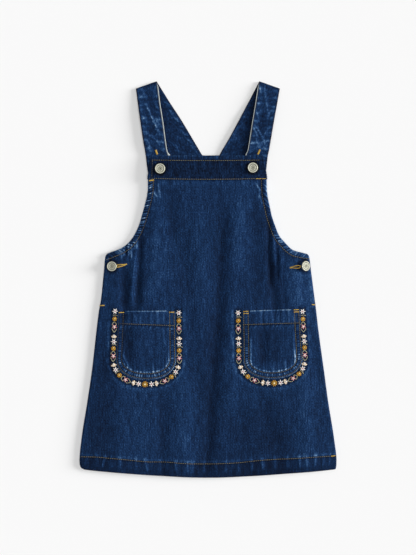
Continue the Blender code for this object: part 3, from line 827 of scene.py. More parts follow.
# Each section is the x and y of the outer edge, those of the inner edge, and z.
LEFT_BACK_RUN = [
    (-58, 156, 2.4, 156, 1.4), (-59, 167, -4, 167, 1.4), (-62, 178, -11, 179, 0.1),
    (-69, 197, -21.6, 197, 0), (-79, 220, -36.9, 222.6, 0), (-90, 243, -54, 248.8, 0),
]
LEFT_FRONT_RUN = [
    (-97.6, 242, -67.2, 245, 3.6), (-94.9, 222.6, -63.6, 222.6, 4.4), (-90.8, 194.6, -59.8, 194.6, 4.6),
    (-88.3, 180.6, -57.6, 180.6, 4), (-87.1, 173, -55.6, 173, 3.2), (-84.6, 152.6, -54.6, 152.6, 3.1),
    (-80, 136, -57, 136, 3.1),
]
RIGHT_BACK_RUN = [
    (60, 156, 6, 156, 1.4), (61, 167, 12.3, 167, 1.4), (63.5, 178, 18.6, 179, 1.6),
    (69.5, 197, 29.3, 197, 2.4), (79, 220, 43.2, 222.6, 2.4), (89.5, 243, 57, 248.8, 1.2),
]
RIGHT_FRONT_RUN = [
    (96, 242, 66.4, 245, 4.6), (92.4, 222.6, 62.6, 222.6, 5.8), (87.7, 194.6, 58.2, 194.6, 6.2),
    (85.2, 180.6, 55.8, 180.6, 4.8), (83.7, 173, 53.2, 173, 3.2), (81.2, 152.6, 53.6, 152.6, 3.1),
    (78, 136, 56, 136, 3.1),
]
# A strap is its two runs, the outer and inner end of its fold at the shoulder, the width of pale edge that
# shows, the strength of the painted shadow that the front run casts on the back run, and a seed for its
# puckers.
Strap = namedtuple("Strap", "back_run front_run shoulder ecru_width shade seed")
STRAPS = {
    "left": Strap(LEFT_BACK_RUN, LEFT_FRONT_RUN, [(-101.3, 267.4), (-71.6, 277.8)], 0.2, 0.10, 0.7),
    "right": Strap(RIGHT_BACK_RUN, RIGHT_FRONT_RUN, [(100.8, 267.4), (71.8, 277.8)], 0.2, 0.34, 3.1),
}


def run_points(sections):
    """Points of the middle of a strap's wall, smooth through its cross sections."""
    at = np.linspace(0, len(sections) - 1, RUN_ROWS + 1)
    columns = [smooth(range(len(sections)), column, at)[:, None] for column in np.array(sections).T]
    outer_x, outer_y, inner_x, inner_y, z = columns
    across = np.linspace(0, 1, STRAP_COLUMNS + 1)
    x = outer_x + (inner_x - outer_x) * across
    return stacked(x, outer_y + (inner_y - outer_y) * across, z + STRAP / 2)


def strap_middle(strap):
    """Up the back run, round half a turn at the shoulder, down the front run."""
    fold = (STRAP + GAP) / 2
    outer, inner = np.array(strap.shoulder)
    away = unit(left_of(inner - outer))
    away = away * math.copysign(1.0, away[1])
    outer, inner = (end - away * (fold + STRAP / 2) for end in (outer, inner))
    up = run_points(strap.back_run + [(*outer, *inner, 0.0)])
    down = run_points([(*outer, *inner, STRAP + GAP)] + strap.front_run)
    angle = np.linspace(-math.pi / 2, math.pi / 2, TURN_ROWS + 1)[1:-1, None]
    turn = np.repeat(up[-1:], TURN_ROWS - 1, axis=0)
    turn[..., :2] += away * fold * np.cos(angle)[..., None]
    turn[..., 2] = STRAP / 2 + fold + fold * np.sin(angle)
    return np.concatenate([up, turn, down])


def normals_of(points):
    """Unit normals of a grid: the cross product of its two gradients."""
    return unit(np.cross(np.gradient(points, axis=1), np.gradient(points, axis=0)))


# %% [markdown]
# The strap's puckers sit along its long edges, where it is stitched in its own blue thread, and the wash has
# left pale streaks and cloudy patches on the front runs. The large ones are placed one by one, as short folds
# in page axes. A strap has no page of its own, so its `cloth` map is measured on the strip: how far across,
# and how far along from the end at the back.

# %% Straps
BACK_RUN_MARKS = {
    "left": [
        (-66, 266, -56, 252, 1.3, 0.3, 0.18), (-62, 250, -50, 242, 1.5, 0.3, 0.2),
        (-46, 226, -56, 240, 1.4, 0.3, 0.18), (-50, 230, -38, 218, 1.4, 0.3, 0.22),
        (-40, 212, -30, 200, 1.4, 0.3, 0.2), (-52, 206, -36, 196, 1.6, 0.3, 0.12),
        (-32, 200, -20, 188, 1.4, 0.3, 0.22), (-26, 190, -14, 176, 1.4, 0.3, 0.2),
        (-46, 190, -40, 176, 1.5, 0.3, 0.14),
    ],
    "right": [
        (58, 252, 50, 236, 1.4, 0.3, 0.18), (50, 238, 42, 220, 1.4, 0.3, 0.22),
        (46, 222, 52, 208, 1.4, 0.3, 0.14), (42, 216, 32, 200, 1.4, 0.3, 0.22),
        (34, 204, 44, 190, 1.5, 0.3, 0.14), (34, 200, 22, 184, 1.4, 0.3, 0.22),
        (26, 190, 18, 176, 1.4, 0.3, 0.2),
    ],
}
# The few troughs among these marks are darker: painted shade.
STRAP_MARKS = {
    "left": [
        (-95, 272, -85, 250, 1, 0.4, 0.28), (-90, 252, -66, 200, 1, 0.6, 0.46),
        (-97, 262, -89, 252, 1.2, 0.3, 0.16), (-98, 250, -90, 260, 1.2, 0.3, 0.12),
        (-98, 250, -90, 246, 1.3, 0.3, 0.16), (-91, 230, -84, 216, 1.3, 0.3, 0.18),
        (-94, 221, -88, 227, 1.2, 0.3, 0.14), (-75, 248, -70, 238, 1.3, 0.3, 0.28),
        (-78, 266, -73, 256, 1.1, 0.3, 0.16), (-73, 228, -69, 214, 1.2, 0.3, 0.22),
        (-80, 206, -74, 194, 1.1, 0.3, 0.26), (-88, 208, -78, 198, 1.3, 0.3, 0.2),
        (-73, 197, -67, 186, 1.1, 0.4, 0.3), (-84, 194, -80, 176, 1.4, 0.3, 0.24),
        (-89, 196, -82, 190, 2, 0.3, 0.22), (-78, 262, -76, 224, 7, -0.4, -0.07),
        (-80, 216, -78, 200, 4, -0.3, -0.08),
    ],
    "right": [
        (79, 284, 80, 254, 1, 0.3, 0.16), (79, 266, 85, 226, 1, 0.3, 0.22),
        (63, 220, 82, 182, 1, 0.3, 0.26, 2), (94, 250, 80, 244, 1.4, 0.3, 0.14),
        (71, 276, 75, 258, 1.4, 0.3, 0.26), (69, 250, 74, 232, 1.4, 0.3, 0.14),
        (90, 240, 80, 222, 1.3, 0.3, 0.24), (66, 238, 72, 222, 1.4, 0.3, 0.22),
        (62, 214, 70, 200, 1.2, 0.3, 0.26), (88, 218, 76, 198, 1.3, 0.3, 0.2),
        (66, 200, 74, 178, 1.2, 0.3, 0.18), (73, 196, 72, 180, 11, 0.4, 0.13),
        (76, 232, 74, 206, 4, -0.4, -0.08), (90, 262, 84, 196, 3, -0.3, -0.06),
    ],
}
STRAP_ROPE = Rope(10.5, 1.5, 0.5)
STRAP_FINE = Rope(4.6, 1.1, 0.2)


def make_strap(side):
    """The strip's middle, its puckers, then the two faces half a wall each way.

    The front run's shadow on the back run, beside its inner edge, is painted there as a dark shade.
    """
    strap = STRAPS[side]
    middle = strap_middle(strap)
    x, y = middle[..., 0], middle[..., 1]
    along = np.repeat(length_along(middle.mean(axis=1))[:, None], middle.shape[1], axis=1)
    width = np.linalg.norm(middle[:, -1] - middle[:, 0], axis=-1)[:, None]
    across = width * np.linspace(0, 1, middle.shape[1])
    from_edge = np.minimum(across, width - across)
    is_inner = across > width / 2
    in_front = soft_step((along - along[RUN_ROWS, 0]) / 8)
    seed = strap.seed + 1.7 * is_inner
    ridge = rope(along, STRAP_ROPE, seed) * bell((from_edge - 4.0) / 3.4)
    fine = rope(along, STRAP_FINE, seed + 3.0) * bell((from_edge - 2.2) / 1.6)
    seen = np.where(is_inner, 1.0, in_front)
    free = soft_step((along - 8) / 14) * soft_step((along[-1, 0] - along - 24) / 16)
    runs = zip(fold_field(STRAP_MARKS[side], x, y), fold_field(BACK_RUN_MARKS[side], x, y))
    mark, mark_pale = (before * in_front + behind * (1 - in_front) for before, behind in runs)
    run_x, run_y = np.array(strap.front_run)[:, 2:4].T
    beside = np.abs(x - smooth(run_y, run_x, y))
    # Painted shadow of the front run on the back run beside its inner edge.
    shaded = strap.shade * (1 - in_front) * np.exp(-beside / 4.5) * soft_step((y - 168) / 10)
    wear_and_shade = (0.20 + 0.10 * in_front) * ridge * seen + (0.04 + 0.06 * in_front) * fine * seen + mark_pale
    wear_and_shade = wear_and_shade + 0.04 * in_front - 0.34 * np.exp(-from_edge / 1.0) - shaded
    ecru = in_front * soft_step((strap.ecru_width - (width - across)) / 0.6 + 1)
    lift = (STRAP_ROPE.height * ridge + STRAP_FINE.height * fine + mark) * free
    normal = normals_of(middle)
    middle = middle + normal * (lift * normal[..., 2])[..., None]
    middle[..., 2] = np.maximum(middle[..., 2], STRAP / 2)
    half = normal * (STRAP / 2 - 0.45 * np.exp(-from_edge / 0.8))[..., None]
    name = f"strap_{side}"
    piece = closed_sheet(f"{name}_cloth", middle + half, middle - half, stacked(across, along), wear_and_shade, ecru)
    area = float((width[:-1] * np.diff(along, axis=0)[:, :1]).sum()) * MM * MM
    size = (float(width.max()) * MM, float(along.max()) * MM)
    declare_cloth(piece, name, "strap_denim", ["back"], *size, area)
    return piece, middle


straps = {side: make_strap(side) for side in STRAPS}


def strap_top(middle):
    """A function of the page that gives a front run's upper face: the nearest point of its grid."""
    run = middle[FRONT_RUN:].reshape(-1, 3)

    def height(x, y):
        places = stacked(np.ravel(x), np.ravel(y))
        best = ((places[:, None, :] - run[None, :, :2]) ** 2).sum(axis=-1).argmin(axis=1)
        return (run[best, 2] + STRAP / 2).reshape(np.shape(x))

    return height


# %% [markdown]
# ## The pockets
#
# Each pocket is laid over the front's own relief, so a fold goes on through it. Its grid hangs from the
# straight top edge, every column down to the rounded bottom. The turned edges make ridges between the two
# rows of stitches, and the washed cloth puckers inside them.

# %% Relief of a pocket
# The wider troughs among these creases are darker: painted shade.
POCKET_CREASES = [
    (-121, -102, -108, -130, 1.1, 0.6, 0.24, 1), (-104, -48, -100, -62, 0.9, 0.3, 0.14, 1),
    (-62, -66, -58, -96, 1, 0.5, 0.22, -2), (-112, -72, -110, -88, 1.2, 0.4, 0.12, 1),
    (-117, -46, -117, -64, 3, -0.8, -0.14), (-78, -112, -76, -134, 1, 0.3, 0.16),
    (118.5, -66, 119.5, -116, 1, 0.5, 0.14), (60, -76, 61.5, -112, 1, 0.6, 0.24, -1),
    (107, -110, 107.5, -130, 1, 0.5, 0.26), (91.5, -112, 92, -132, 0.9, 0.4, 0.2),
    (85, -114, 90, -130, 1, 0.4, 0.14), (75, -74, 83, -112, 1.3, 0.3, 0.08, 1),
    (64, -44, 64, -66, 3, -0.6, -0.12), (-113, -60, -111, -138, 6, -0.6, -0.09),
    (74, -64, 80, -122, 5, -0.6, -0.085), (91, -62, 96, -124, 3.6, -0.5, -0.075),
]
POCKET_ROPES = {
    "ridge": Rope(3.7, 0.9, 0.50, 0.64),  # between the two rows of stitches
    "pucker": Rope(4.4, 0.9, 0.70, 0.56),  # inside them
    "rim": Rope(9.0, 3.0, 0.40, 0.36),  # along the inner row
    "ribs": Rope(8.0, 2.0, 0.50, 0.20),  # down the mouth's hem
    "under_hem": Rope(6.0, 1.2, 0.40, 0.20),
}


def pocket_marks(patch, x, y):
    """(height, paleness) of a pocket's own ridges, and its distance from the sewn edge."""
    ropes, seed = POCKET_ROPES, patch.seed
    from_edge, along = nearest(x, y, pocket_outline(patch))
    local_x, local_y = to_pocket(patch, x, y)
    under = hem_of(patch, local_x) - local_y
    below_hem = soft_step(under / 3)
    gap = hump((from_edge - OUTER_ROW) / (INNER_ROW - OUTER_ROW)) * below_hem
    low = soft_step((-local_y - 38) / 35)
    inside = np.maximum(from_edge - INNER_ROW, 0)
    past = soft_step(inside / 1.5)
    rim = bell((inside - 1.8) / 0.8) * low
    ridges = {
        "ridge": rope(along, ropes["ridge"], seed) * gap * (0.55 + 0.45 * low),
        "pucker": rope(local_x, ropes["pucker"], seed + 1) * past * np.exp(-inside / 5.0) * low,
        "rim": (0.45 + 0.55 * rope(along, ropes["rim"], seed + 4)) * rim,
        "ribs": rope(local_x, ropes["ribs"], seed + 2) * within(-local_y, 2.0, POCKET_HEM - 2, 2.5),
        "under_hem": rope(local_x - 0.5 * local_y, ropes["under_hem"], seed + 3) * bell((under - 3.5) / 2.2),
    }
    height, pale = add_up(ropes, ridges)
    crease, crease_pale = fold_field(POCKET_CREASES, x, y)
    mouth = bell((local_y + 0.4) / 0.6) * within(local_x, -28.0, 27.0, 3.0)
    pale = pale + crease_pale - 0.15 * gap - 0.10 * past * np.exp(-inside / 5.5) * low + 0.44 * mouth
    # The front's folds go on through the pocket, with their painted shade and painted highlight.
    _, fold_wear_and_shade = fold_field(FRONT_FOLDS, x, level_of(x, y))
    pale = pale + (0.12 + 0.40 * low) * np.exp(-from_edge / 0.7) + fold_wear_and_shade
    # Painted shade in the grooves along both rows of stitches, and just below the hem's stitch.
    pale = pale - 0.22 * bell((from_edge - OUTER_ROW) / 0.8) - 0.24 * bell((from_edge - INNER_ROW) / 0.9)
    return height + crease, pale - 0.20 * bell((1.2 - under) / 1.0), from_edge


def pocket_top(patch):
    """A function of the page that gives the pocket's upper face."""

    def height(x, y):
        marks, _, from_edge = pocket_marks(patch, x, y)
        local_x, local_y = to_pocket(patch, x, y)
        over_hem = local_y - hem_of(patch, local_x)
        hem = 0.5 * soft_step(over_hem / 1.2 + 0.5)
        swell = 0.9 * soft_step(from_edge / 16)
        groove = 0.4 * bell((from_edge - OUTER_ROW) / 0.8) + 0.5 * bell((from_edge - INNER_ROW) / 0.9)
        groove = groove + 0.45 * bell(over_hem / 0.9)
        rounding = 0.8 * (1 - rolled(np.minimum(from_edge, -local_y) / 1.3))
        return front_top(x, y) + POCKET_THICK + hem + swell + marks - groove - rounding

    return height


# %% The two pockets
POCKET_COLUMNS, POCKET_ROWS = 144, 128


def make_pocket(patch):
    """Columns hang from the mouth and end on the superellipse; heights come from the pocket's relief."""
    across = crowded(POCKET_COLUMNS, 0.7)
    rounding = (1 - np.abs(across) ** POCKET_ROUND_POWER) ** (1 / POCKET_ROUND_POWER)
    length = POCKET_SIDE + (POCKET_DEPTH - POCKET_SIDE) * rounding
    local_y = -np.linspace(1, 0, POCKET_ROWS + 1)[:, None] * length
    x, y = to_page(patch, across * reach_of(patch, across, local_y), local_y)
    z = pocket_top(patch)(x, y)
    under_z = np.minimum(front_top(x, y) + 0.05, z - 0.4)
    _, pale, _ = pocket_marks(patch, x, y)
    name = f"pocket_{patch.side}"
    return lay_cloth(f"{name}_cloth", name, "denim", ["front"], x, y, z, under_z, pale)


pockets = [make_pocket(patch) for patch in POCKETS]

# %% [markdown]
# ## Thread
#
# Topstitch, bartacks, buttonholes and embroidery are all short lengths of thread lying on cloth. One
# function makes them: rods between pairs of points, each a row of rings. The rings' sizes along the rod give
# a stitch its blunt ends or a petal its point, and width and height can differ, so a rod can be flat. All
# rods of one thread on one piece of cloth become one mesh.

# %% Rods
STITCH_SHAPE = [(0.0, 0.45), (0.16, 1.0), (0.84, 1.0), (1.0, 0.45)]
PETAL_SHAPE = [(0.0, 0.25), (0.25, 0.75), (0.6, 1.0), (0.85, 0.8), (1.0, 0.25)]
POINT_SHAPE = [(0.0, 0.5), (0.35, 1.0), (0.7, 0.6), (1.0, 0.12)]


def ring_angles(facets):
    """The angles of a ring's points."""
    return 2 * math.pi * np.arange(facets) / facets


def ring_axes(forward):
    """Two unit vectors square to a direction: one level, one as upright as it can be."""
    sideways = unit(np.cross([0.0, 0.0, 1.0], forward))
    return sideways, np.cross(forward, sideways)


def rods(starts, ends, width, height, shape, bow=0.0, facets=6):
    """Rings of points from each start to each end: centre + side * cos * width + up * sin * height."""
    t, size = np.array(shape).T
    run = ends - starts
    angle = ring_angles(facets)
    turns = [np.cos(angle)[:, None], np.sin(angle)[:, None]]
    halves = [(np.broadcast_to(part, len(starts)) / 2)[:, None, None, None] for part in (width, height)]
    centre = starts[:, None, :] + run[:, None, :] * t[None, :, None]
    centre[..., 2] += bow * (1 - (2 * t - 1) ** 2)
    around = [
        axis[:, None, None, :] * turn * half for axis, turn, half in zip(ring_axes(unit(run)), turns, halves)
    ]
    points = centre[:, :, None, :] + sum(around) * size[:, None, None]
    return points, stacked(np.linalg.norm(run, axis=1)[:, None, None] * t[:, None], angle)


def rod_faces(count, rings, facets, first):
    """Quads round every rod and a cap at each end, for rods whose points are numbered from first on."""
    index = first + numbered(count, rings, facets)
    after = np.roll(index, -1, axis=2)
    quads = stacked(index[:, :-1], after[:, :-1], after[:, 1:], index[:, 1:]).reshape(-1, 4)
    return quads.tolist() + np.concatenate([index[:, 0, ::-1], index[:, -1, :]]).tolist()


# Where topstitch lies in shadow: painted shade that turns the thread towards navy, as folds with no height.
SHADED_THREAD = [
    # beside the bib's right corner, and the armholes
    (76, 182, 80, 100, 3.2, 0, 0.95), (80, 130, 104, 40, 6, 0, 0.55), (-80, 128, -100, 44, 6, 0, 0.5),
    # beside the bib's left corner
    (-77, 176, -84, 96, 3, 0, 0.7),
    # the left pocket's two sides, and the bottoms of both pockets
    (-123, -30, -123, -130, 6.5, 0, 0.85), (-52, -66, -52, -130, 5, 0, 0.2),
    (-86, -118, -86, -148, 34, 0, 0.22), (90, -118, 90, -148, 34, 0, 0.22),
]


def thread_mesh(name, parts):
    """Joins rods into one mesh that rides with the cloth; parts are what rods() gave."""
    faces, first = [], 0
    for points, _ in parts:
        faces += rod_faces(*points.shape[:3], first)
        first += points.size // 3
    points = np.concatenate([points.reshape(-1, 3) for points, _ in parts])
    thing = finish_mesh(name, points, faces)
    # Painted shade on the topstitch where it lies in shadow.
    painted_thread_shade = fold_field(SHADED_THREAD, points[:, 0], points[:, 1])[1] * name.startswith("topstitch")
    put_facts(thing, {"painted_thread_shade": painted_thread_shade}, np.concatenate([place.reshape(-1, 2) for _, place in parts]))
    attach(thing, "root")
    print(f"{name}: {first} vertices, {len(faces)} faces")
    return thing


# %% [markdown]
# A row of topstitch goes along a line on the page in even stitches. Its height comes from the cloth's own
# height, so the thread dips and rises with every ridge. Bartacks and buttonholes are the same rods laid
# side by side across a line, as the machine lays them.

# %% Rows of stitches
STITCH_PITCH, STITCH_GAP, STITCH_WIDE = 3.1, 0.8, 0.66
STITCH_LIFT = 0.05
TACK_PITCH, TACK_THREAD, TACK_SLANT, TACK_LIFT = 0.62, 0.62, 0.25, 0.2


def at_length(line, at, values=None):
    """Places on a line at given lengths along it, or other values that its points have."""
    along, values = length_along(line), line if values is None else values
    return stacked(*[np.interp(at, along, column) for column in values.T])


def on_cloth(places, top, lift):
    """Page places with the cloth's height under them, and a little more."""
    return np.column_stack([places, top(places[:, 0], places[:, 1]) + lift])


def stitch_ends(line, pitch):
    """Starts and ends of a row's stitches: each fills its pitch but for the gap where thread goes down."""
    total = length_along(line)[-1]
    count = max(1, round(total / pitch))
    start = np.arange(count) * total / count
    return at_length(line, start), at_length(line, start + total / count - STITCH_GAP)


def stitch_row(line, top, pitch=STITCH_PITCH):
    """Stitches along a line on the page, laid on the cloth."""
    first, last = (on_cloth(places, top, STITCH_LIFT) for places in stitch_ends(line, pitch))
    return rods(first, last, STITCH_WIDE, STITCH_WIDE * 0.8, STITCH_SHAPE, bow=0.22)


def across_row(line, top, width, pitch=TACK_PITCH):
    """Threads laid across a line side by side, leaning to and fro."""
    total = length_along(line)[-1]
    count = max(2, round(total / pitch))
    at = (np.arange(count) + 0.5) * total / count
    middle, forward = at_length(line, at), at_length(line, at, directions(line))
    lean = TACK_SLANT * np.where(np.arange(count) % 2, 1.0, -1.0)[:, None] * forward
    reach = left_of(forward) * width / 2 + lean
    first, last = (on_cloth(places, top, TACK_LIFT) for places in (middle - reach, middle + reach))
    return rods(first, last, TACK_THREAD, 0.5, STITCH_SHAPE, bow=0.25)


def straight(x0, y0, x1, y1):
    """A line of points between two places."""
    t = np.linspace(0, 1, 24)[:, None]
    return np.array([x0, y0]) * (1 - t) + np.array([x1, y1]) * t


def inset(line, distance):
    """A line moved to its left by a distance, or to its right where that is negative."""
    return line + left_of(directions(line)) * distance


# %% Topstitch of the front and the band
arm_lines = zip(edge_lines(np.linspace(BAND_BOTTOM - 1, ARM_BOTTOM - 7, 240)), (ARM_STITCH, -ARM_STITCH))
arm_lines = [inset(line, distance) for line, distance in arm_lines]
# The end of each armhole's stitch runs straight out to the side edge, just below the corner.
ARM_CORNER = 128.0
ARM_ENDS = [(-143.2, 27.2), (142.2, 28.6)]
arm_lines = [
    np.concatenate([line[np.abs(line[:, 0]) < ARM_CORNER], [end]]) for line, end in zip(arm_lines, ARM_ENDS)
]
hem_x = np.linspace(-177.5, 177.0, 200)
hem_line = stacked(hem_x, smooth(*np.array(HEM_PATH).T, hem_x))
front_gold = [stitch_row(line, front_top) for line in arm_lines + [hem_line]]
band_x = np.linspace(-78.5, 72.5, 120)
band_upper = stacked(band_x, BIB_TOP - BAND_STITCH - 0.8 * (1 - (band_x / 80) ** 2))
band_x = np.linspace(-82.5, 66.0, 120)
band_lower = stacked(band_x, BAND_BOTTOM - BAND_SAG * (1 - (band_x / 84) ** 2) + 1.4)
band_end = straight(-77.7, BIB_TOP - 7, -78.4, BAND_BOTTOM + 3)
band_gold = [stitch_row(line, band_top) for line in (band_upper, band_lower, band_end)]
topstitch_front = thread_mesh("topstitch_front", front_gold)
topstitch_band = thread_mesh("topstitch_band", band_gold)

# %% Topstitch of the pockets
POCKET_PITCH = 2.6


def pocket_threads(patch):
    """Two rows round the sewn edge, and one across under the mouth's hem."""
    outlines = [pocket_outline(patch, -distance) for distance in (OUTER_ROW, INNER_ROW)]
    lines = [line[to_pocket(patch, *line.T)[1] < -1.5] for line in outlines]
    hem_x = np.linspace(0.8 - reach_of(patch, -1, -POCKET_HEM), reach_of(patch, 1, -POCKET_HEM) - 0.8, 40)
    lines.append(stacked(*to_page(patch, hem_x, hem_of(patch, hem_x))))
    rows = [stitch_row(line, pocket_top(patch), POCKET_PITCH) for line in lines]
    return thread_mesh(f"topstitch_pocket_{patch.side}", rows)


topstitch_pockets = [pocket_threads(patch) for patch in POCKETS]

# %% Blue stitches along the straps
STRAP_STITCH = 1.7  # from the edge
STRAP_PITCH, STRAP_WIDE = 2.6, 0.6


def strap_stitches(side, middle):
    """Two rows on the back run and two on the front run, half a wall over the strap's middle."""
    width = np.linalg.norm(middle[:, -1] - middle[:, 0], axis=-1)
    rows = np.arange(len(middle))
    parts = []
    for share in (STRAP_STITCH / width, 1 - STRAP_STITCH / width):
        place = share * (middle.shape[1] - 1)
        low = np.floor(place).astype(int)
        line = middle[rows, low] + (middle[rows, low + 1] - middle[rows, low]) * (place - low)[:, None]
        line = line + np.array([0.0, 0.0, STRAP / 2 + STITCH_LIFT])
        for run in (line[4 : RUN_ROWS - 1], line[FRONT_RUN + 1 :]):
            parts.append(rods(*stitch_ends(run, STRAP_PITCH), STRAP_WIDE, STRAP_WIDE * 0.8, STITCH_SHAPE))
    return thread_mesh(f"topstitch_strap_{side}", parts)


strap_threads = [strap_stitches(side, middle) for side, (_, middle) in straps.items()]

# %% [markdown]
# Bartacks hold the ends of seams: dense threads across a short line, in a brighter gold than the topstitch.
# They sit at the pockets' corners, at the lower ends of the side openings, at both ends of the band, where
# the right one is long and narrow, and on the straps just above it.

# %% Bartacks
Tack = namedtuple("Tack", "x0 y0 x1 y1 width")
FRONT_TACKS = [
    Tack(-151.8, -36.6, -144.6, -36.2, 1.7),
    Tack(149.6, -35.2, 145.2, -35.0, 1.7),
    Tack(178.0, -246.2, 172.2, -247.0, 1.6),
]
BAND_TACKS = [Tack(-82.4, 137.9, -75.4, 138.9, 2.0), Tack(66.5, 140.6, 81.2, 140.8, 0.7)]
STRAP_TACKS = {"left": Tack(-73.2, 181.0, -70.9, 174.9, 2.7), "right": Tack(72.6, 181.4, 69.8, 174.9, 2.6)}
POCKET_TACKS = {"left": (2.2,), "right": (0.9, 3.9)}  # below the mouth: one line of thread, or two


def tacks(table, top):
    """Bartacks of a table, laid on the cloth."""
    return [across_row(straight(*tack[:4]), top, tack.width) for tack in table]


def pocket_tacks(patch):
    """Bartacks across each upper corner of a pocket, between its two rows of topstitch."""
    lines = []
    for sign in (-1, 1):
        for down in POCKET_TACKS[patch.side]:
            ends = sign * (POCKET_WIDTH / 2 - np.array([OUTER_ROW - 0.4, INNER_ROW + 0.6]))
            lines.append(straight(*stacked(*to_page(patch, ends, -down)).ravel()))
    return [across_row(line, pocket_top(patch), 1.3) for line in lines]


bartacks_front = thread_mesh("bartacks_front", tacks(FRONT_TACKS, front_top))
bartacks_band = thread_mesh("bartacks_band", tacks(BAND_TACKS, band_top))
bartacks_pockets = [thread_mesh(f"bartacks_pocket_{p.side}", pocket_tacks(p)) for p in POCKETS]
bartack_straps = [
    thread_mesh(f"bartack_strap_{side}", tacks([STRAP_TACKS[side]], strap_top(middle)))
    for side, (_, middle) in straps.items()
]

# %% [markdown]
# A side button goes through a keyhole buttonhole. The hole is slit along its middle and edged with dense
# thread, and only the part beyond the button shows.

# %% Side buttonholes
Hole = namedtuple("Hole", "from_x from_y to_x to_y half_gap")
HOLES = [Hole(-129.5, 18.2, -114.8, 20.8, 1.3), Hole(129.5, 18.0, 115.8, 16.8, 1.6)]


def buttonhole(hole):
    """Threads across a line round the slit: an oval whose half width grows towards the button's end."""
    angle = np.linspace(0, 2 * math.pi, 90)
    start, end = np.array([hole.from_x, hole.from_y]), np.array([hole.to_x, hole.to_y])
    forward = unit(end - start)
    across = left_of(forward)
    reach = np.linalg.norm(end - start) / 2
    eye = 1 - 0.55 * np.cos(angle)[:, None]
    line = (start + end) / 2 + forward * reach * np.cos(angle)[:, None]
    line = line + across * hole.half_gap * eye * np.sin(angle)[:, None]
    tail = straight(*(end - forward * 1.2), *(end + forward * 1.6 + across * 0.6))
    return [across_row(line, front_top, 1.5, pitch=0.6), across_row(tail, front_top, 2.0)]


buttonholes = thread_mesh("buttonholes", [part for hole in HOLES for part in buttonhole(hole)])

# %% [markdown]
# ## The pale edge of the straps
#
# Along its inner edge each front run shows a narrow line of undyed cotton, the folded edge of the inner ply.
# It is a thin flat tube along the strap's own edge, so it follows every bend of the strap.

# %% Strap edges
TUBE_FACETS = 10
TUBE_HIGH, TUBE_LIFT = 1.0, 0.35
TUBE_POINT = 3  # it comes to a point over so many rings
# Width at the shoulder, width at the band, and how far it is moved off the strap.
STRAP_EDGES = {"left": (1.0, 3.6, 0.1), "right": (0.65, 0.9, -0.1)}


def strap_edge(side, middle):
    """A tube beside the inner edge of the front run, from the shoulder to where it goes under the band.

    It is one long rod with a ring at each point of its line.
    """
    width, wide_end, shift = STRAP_EDGES[side]
    run = middle[FRONT_RUN + 3 :, -1]
    run = run[run[:, 1] > BIB_TOP - 4]
    share = np.linspace(0, 1, len(run))
    widths = width + (wide_end - width) * soft_step((share - 0.82) / 0.18)
    line = run + np.array([shift, 0.0, TUBE_LIFT])
    line[:, 0] += np.sign(shift) * (widths - width) / 2
    (sideways, up), angle = ring_axes(directions(line)), ring_angles(TUBE_FACETS)
    from_end = np.minimum(np.arange(len(line)), np.arange(len(line))[::-1])
    size = (0.3 + 0.7 * np.clip(from_end / TUBE_POINT, 0, 1))[:, None, None]
    ring = sideways[:, None, :] * np.cos(angle)[:, None] * widths[:, None, None] / 2
    ring = ring + up[:, None, :] * np.sin(angle)[:, None] * TUBE_HIGH / 2
    points = (line[:, None, :] + ring * size)[None]
    cloth = stacked(length_along(line)[None, :, None], angle)
    return thread_mesh(f"strap_{side}_edge", [(points, cloth)])


strap_edges = [strap_edge(side, middle) for side, (_, middle) in straps.items()]

# %% [markdown]
# ## Tack buttons
#
# A tack button is a pressed cap of zinc alloy on a short neck. Its face is a set of rings: a rolled rim, a
# groove, an inner ring and a small boss. That is a turned shape, so it is a profile carried round an axis.
# Each point of the profile has its share of the radius, its height under the rim, and how tarnished it is.

# %% Buttons
BUTTON_FACETS = 72
BUTTON_CAP = 2.8
NECK_SHARE = 0.48
SUNK_NECK = 0.4
BUTTON_FACE = [
    (0.03, -0.98, 1.0), (0.13, -0.95, 1.0), (0.18, -0.62, 0.9), (0.22, -0.42, 0.3), (0.27, -0.46, 0.4),
    (0.33, -0.60, 0.9), (0.39, -0.64, 1.0), (0.44, -0.52, 0.6), (0.49, -0.40, 0.2), (0.54, -0.36, 0.1),
    (0.58, -0.42, 0.3), (0.62, -0.54, 0.8), (0.67, -0.60, 1.0), (0.72, -0.52, 0.7), (0.78, -0.26, 0.2),
    (0.84, -0.06, 0.0), (0.91, 0.00, 0.0), (0.96, -0.20, 0.1), (1.00, -0.70, 0.4), (1.00, -1.25, 0.7),
    (0.96, -1.90, 0.9), (0.90, -2.60, 1.0), (0.84, -2.80, 1.0), (0.48, -2.80, 1.0),
]


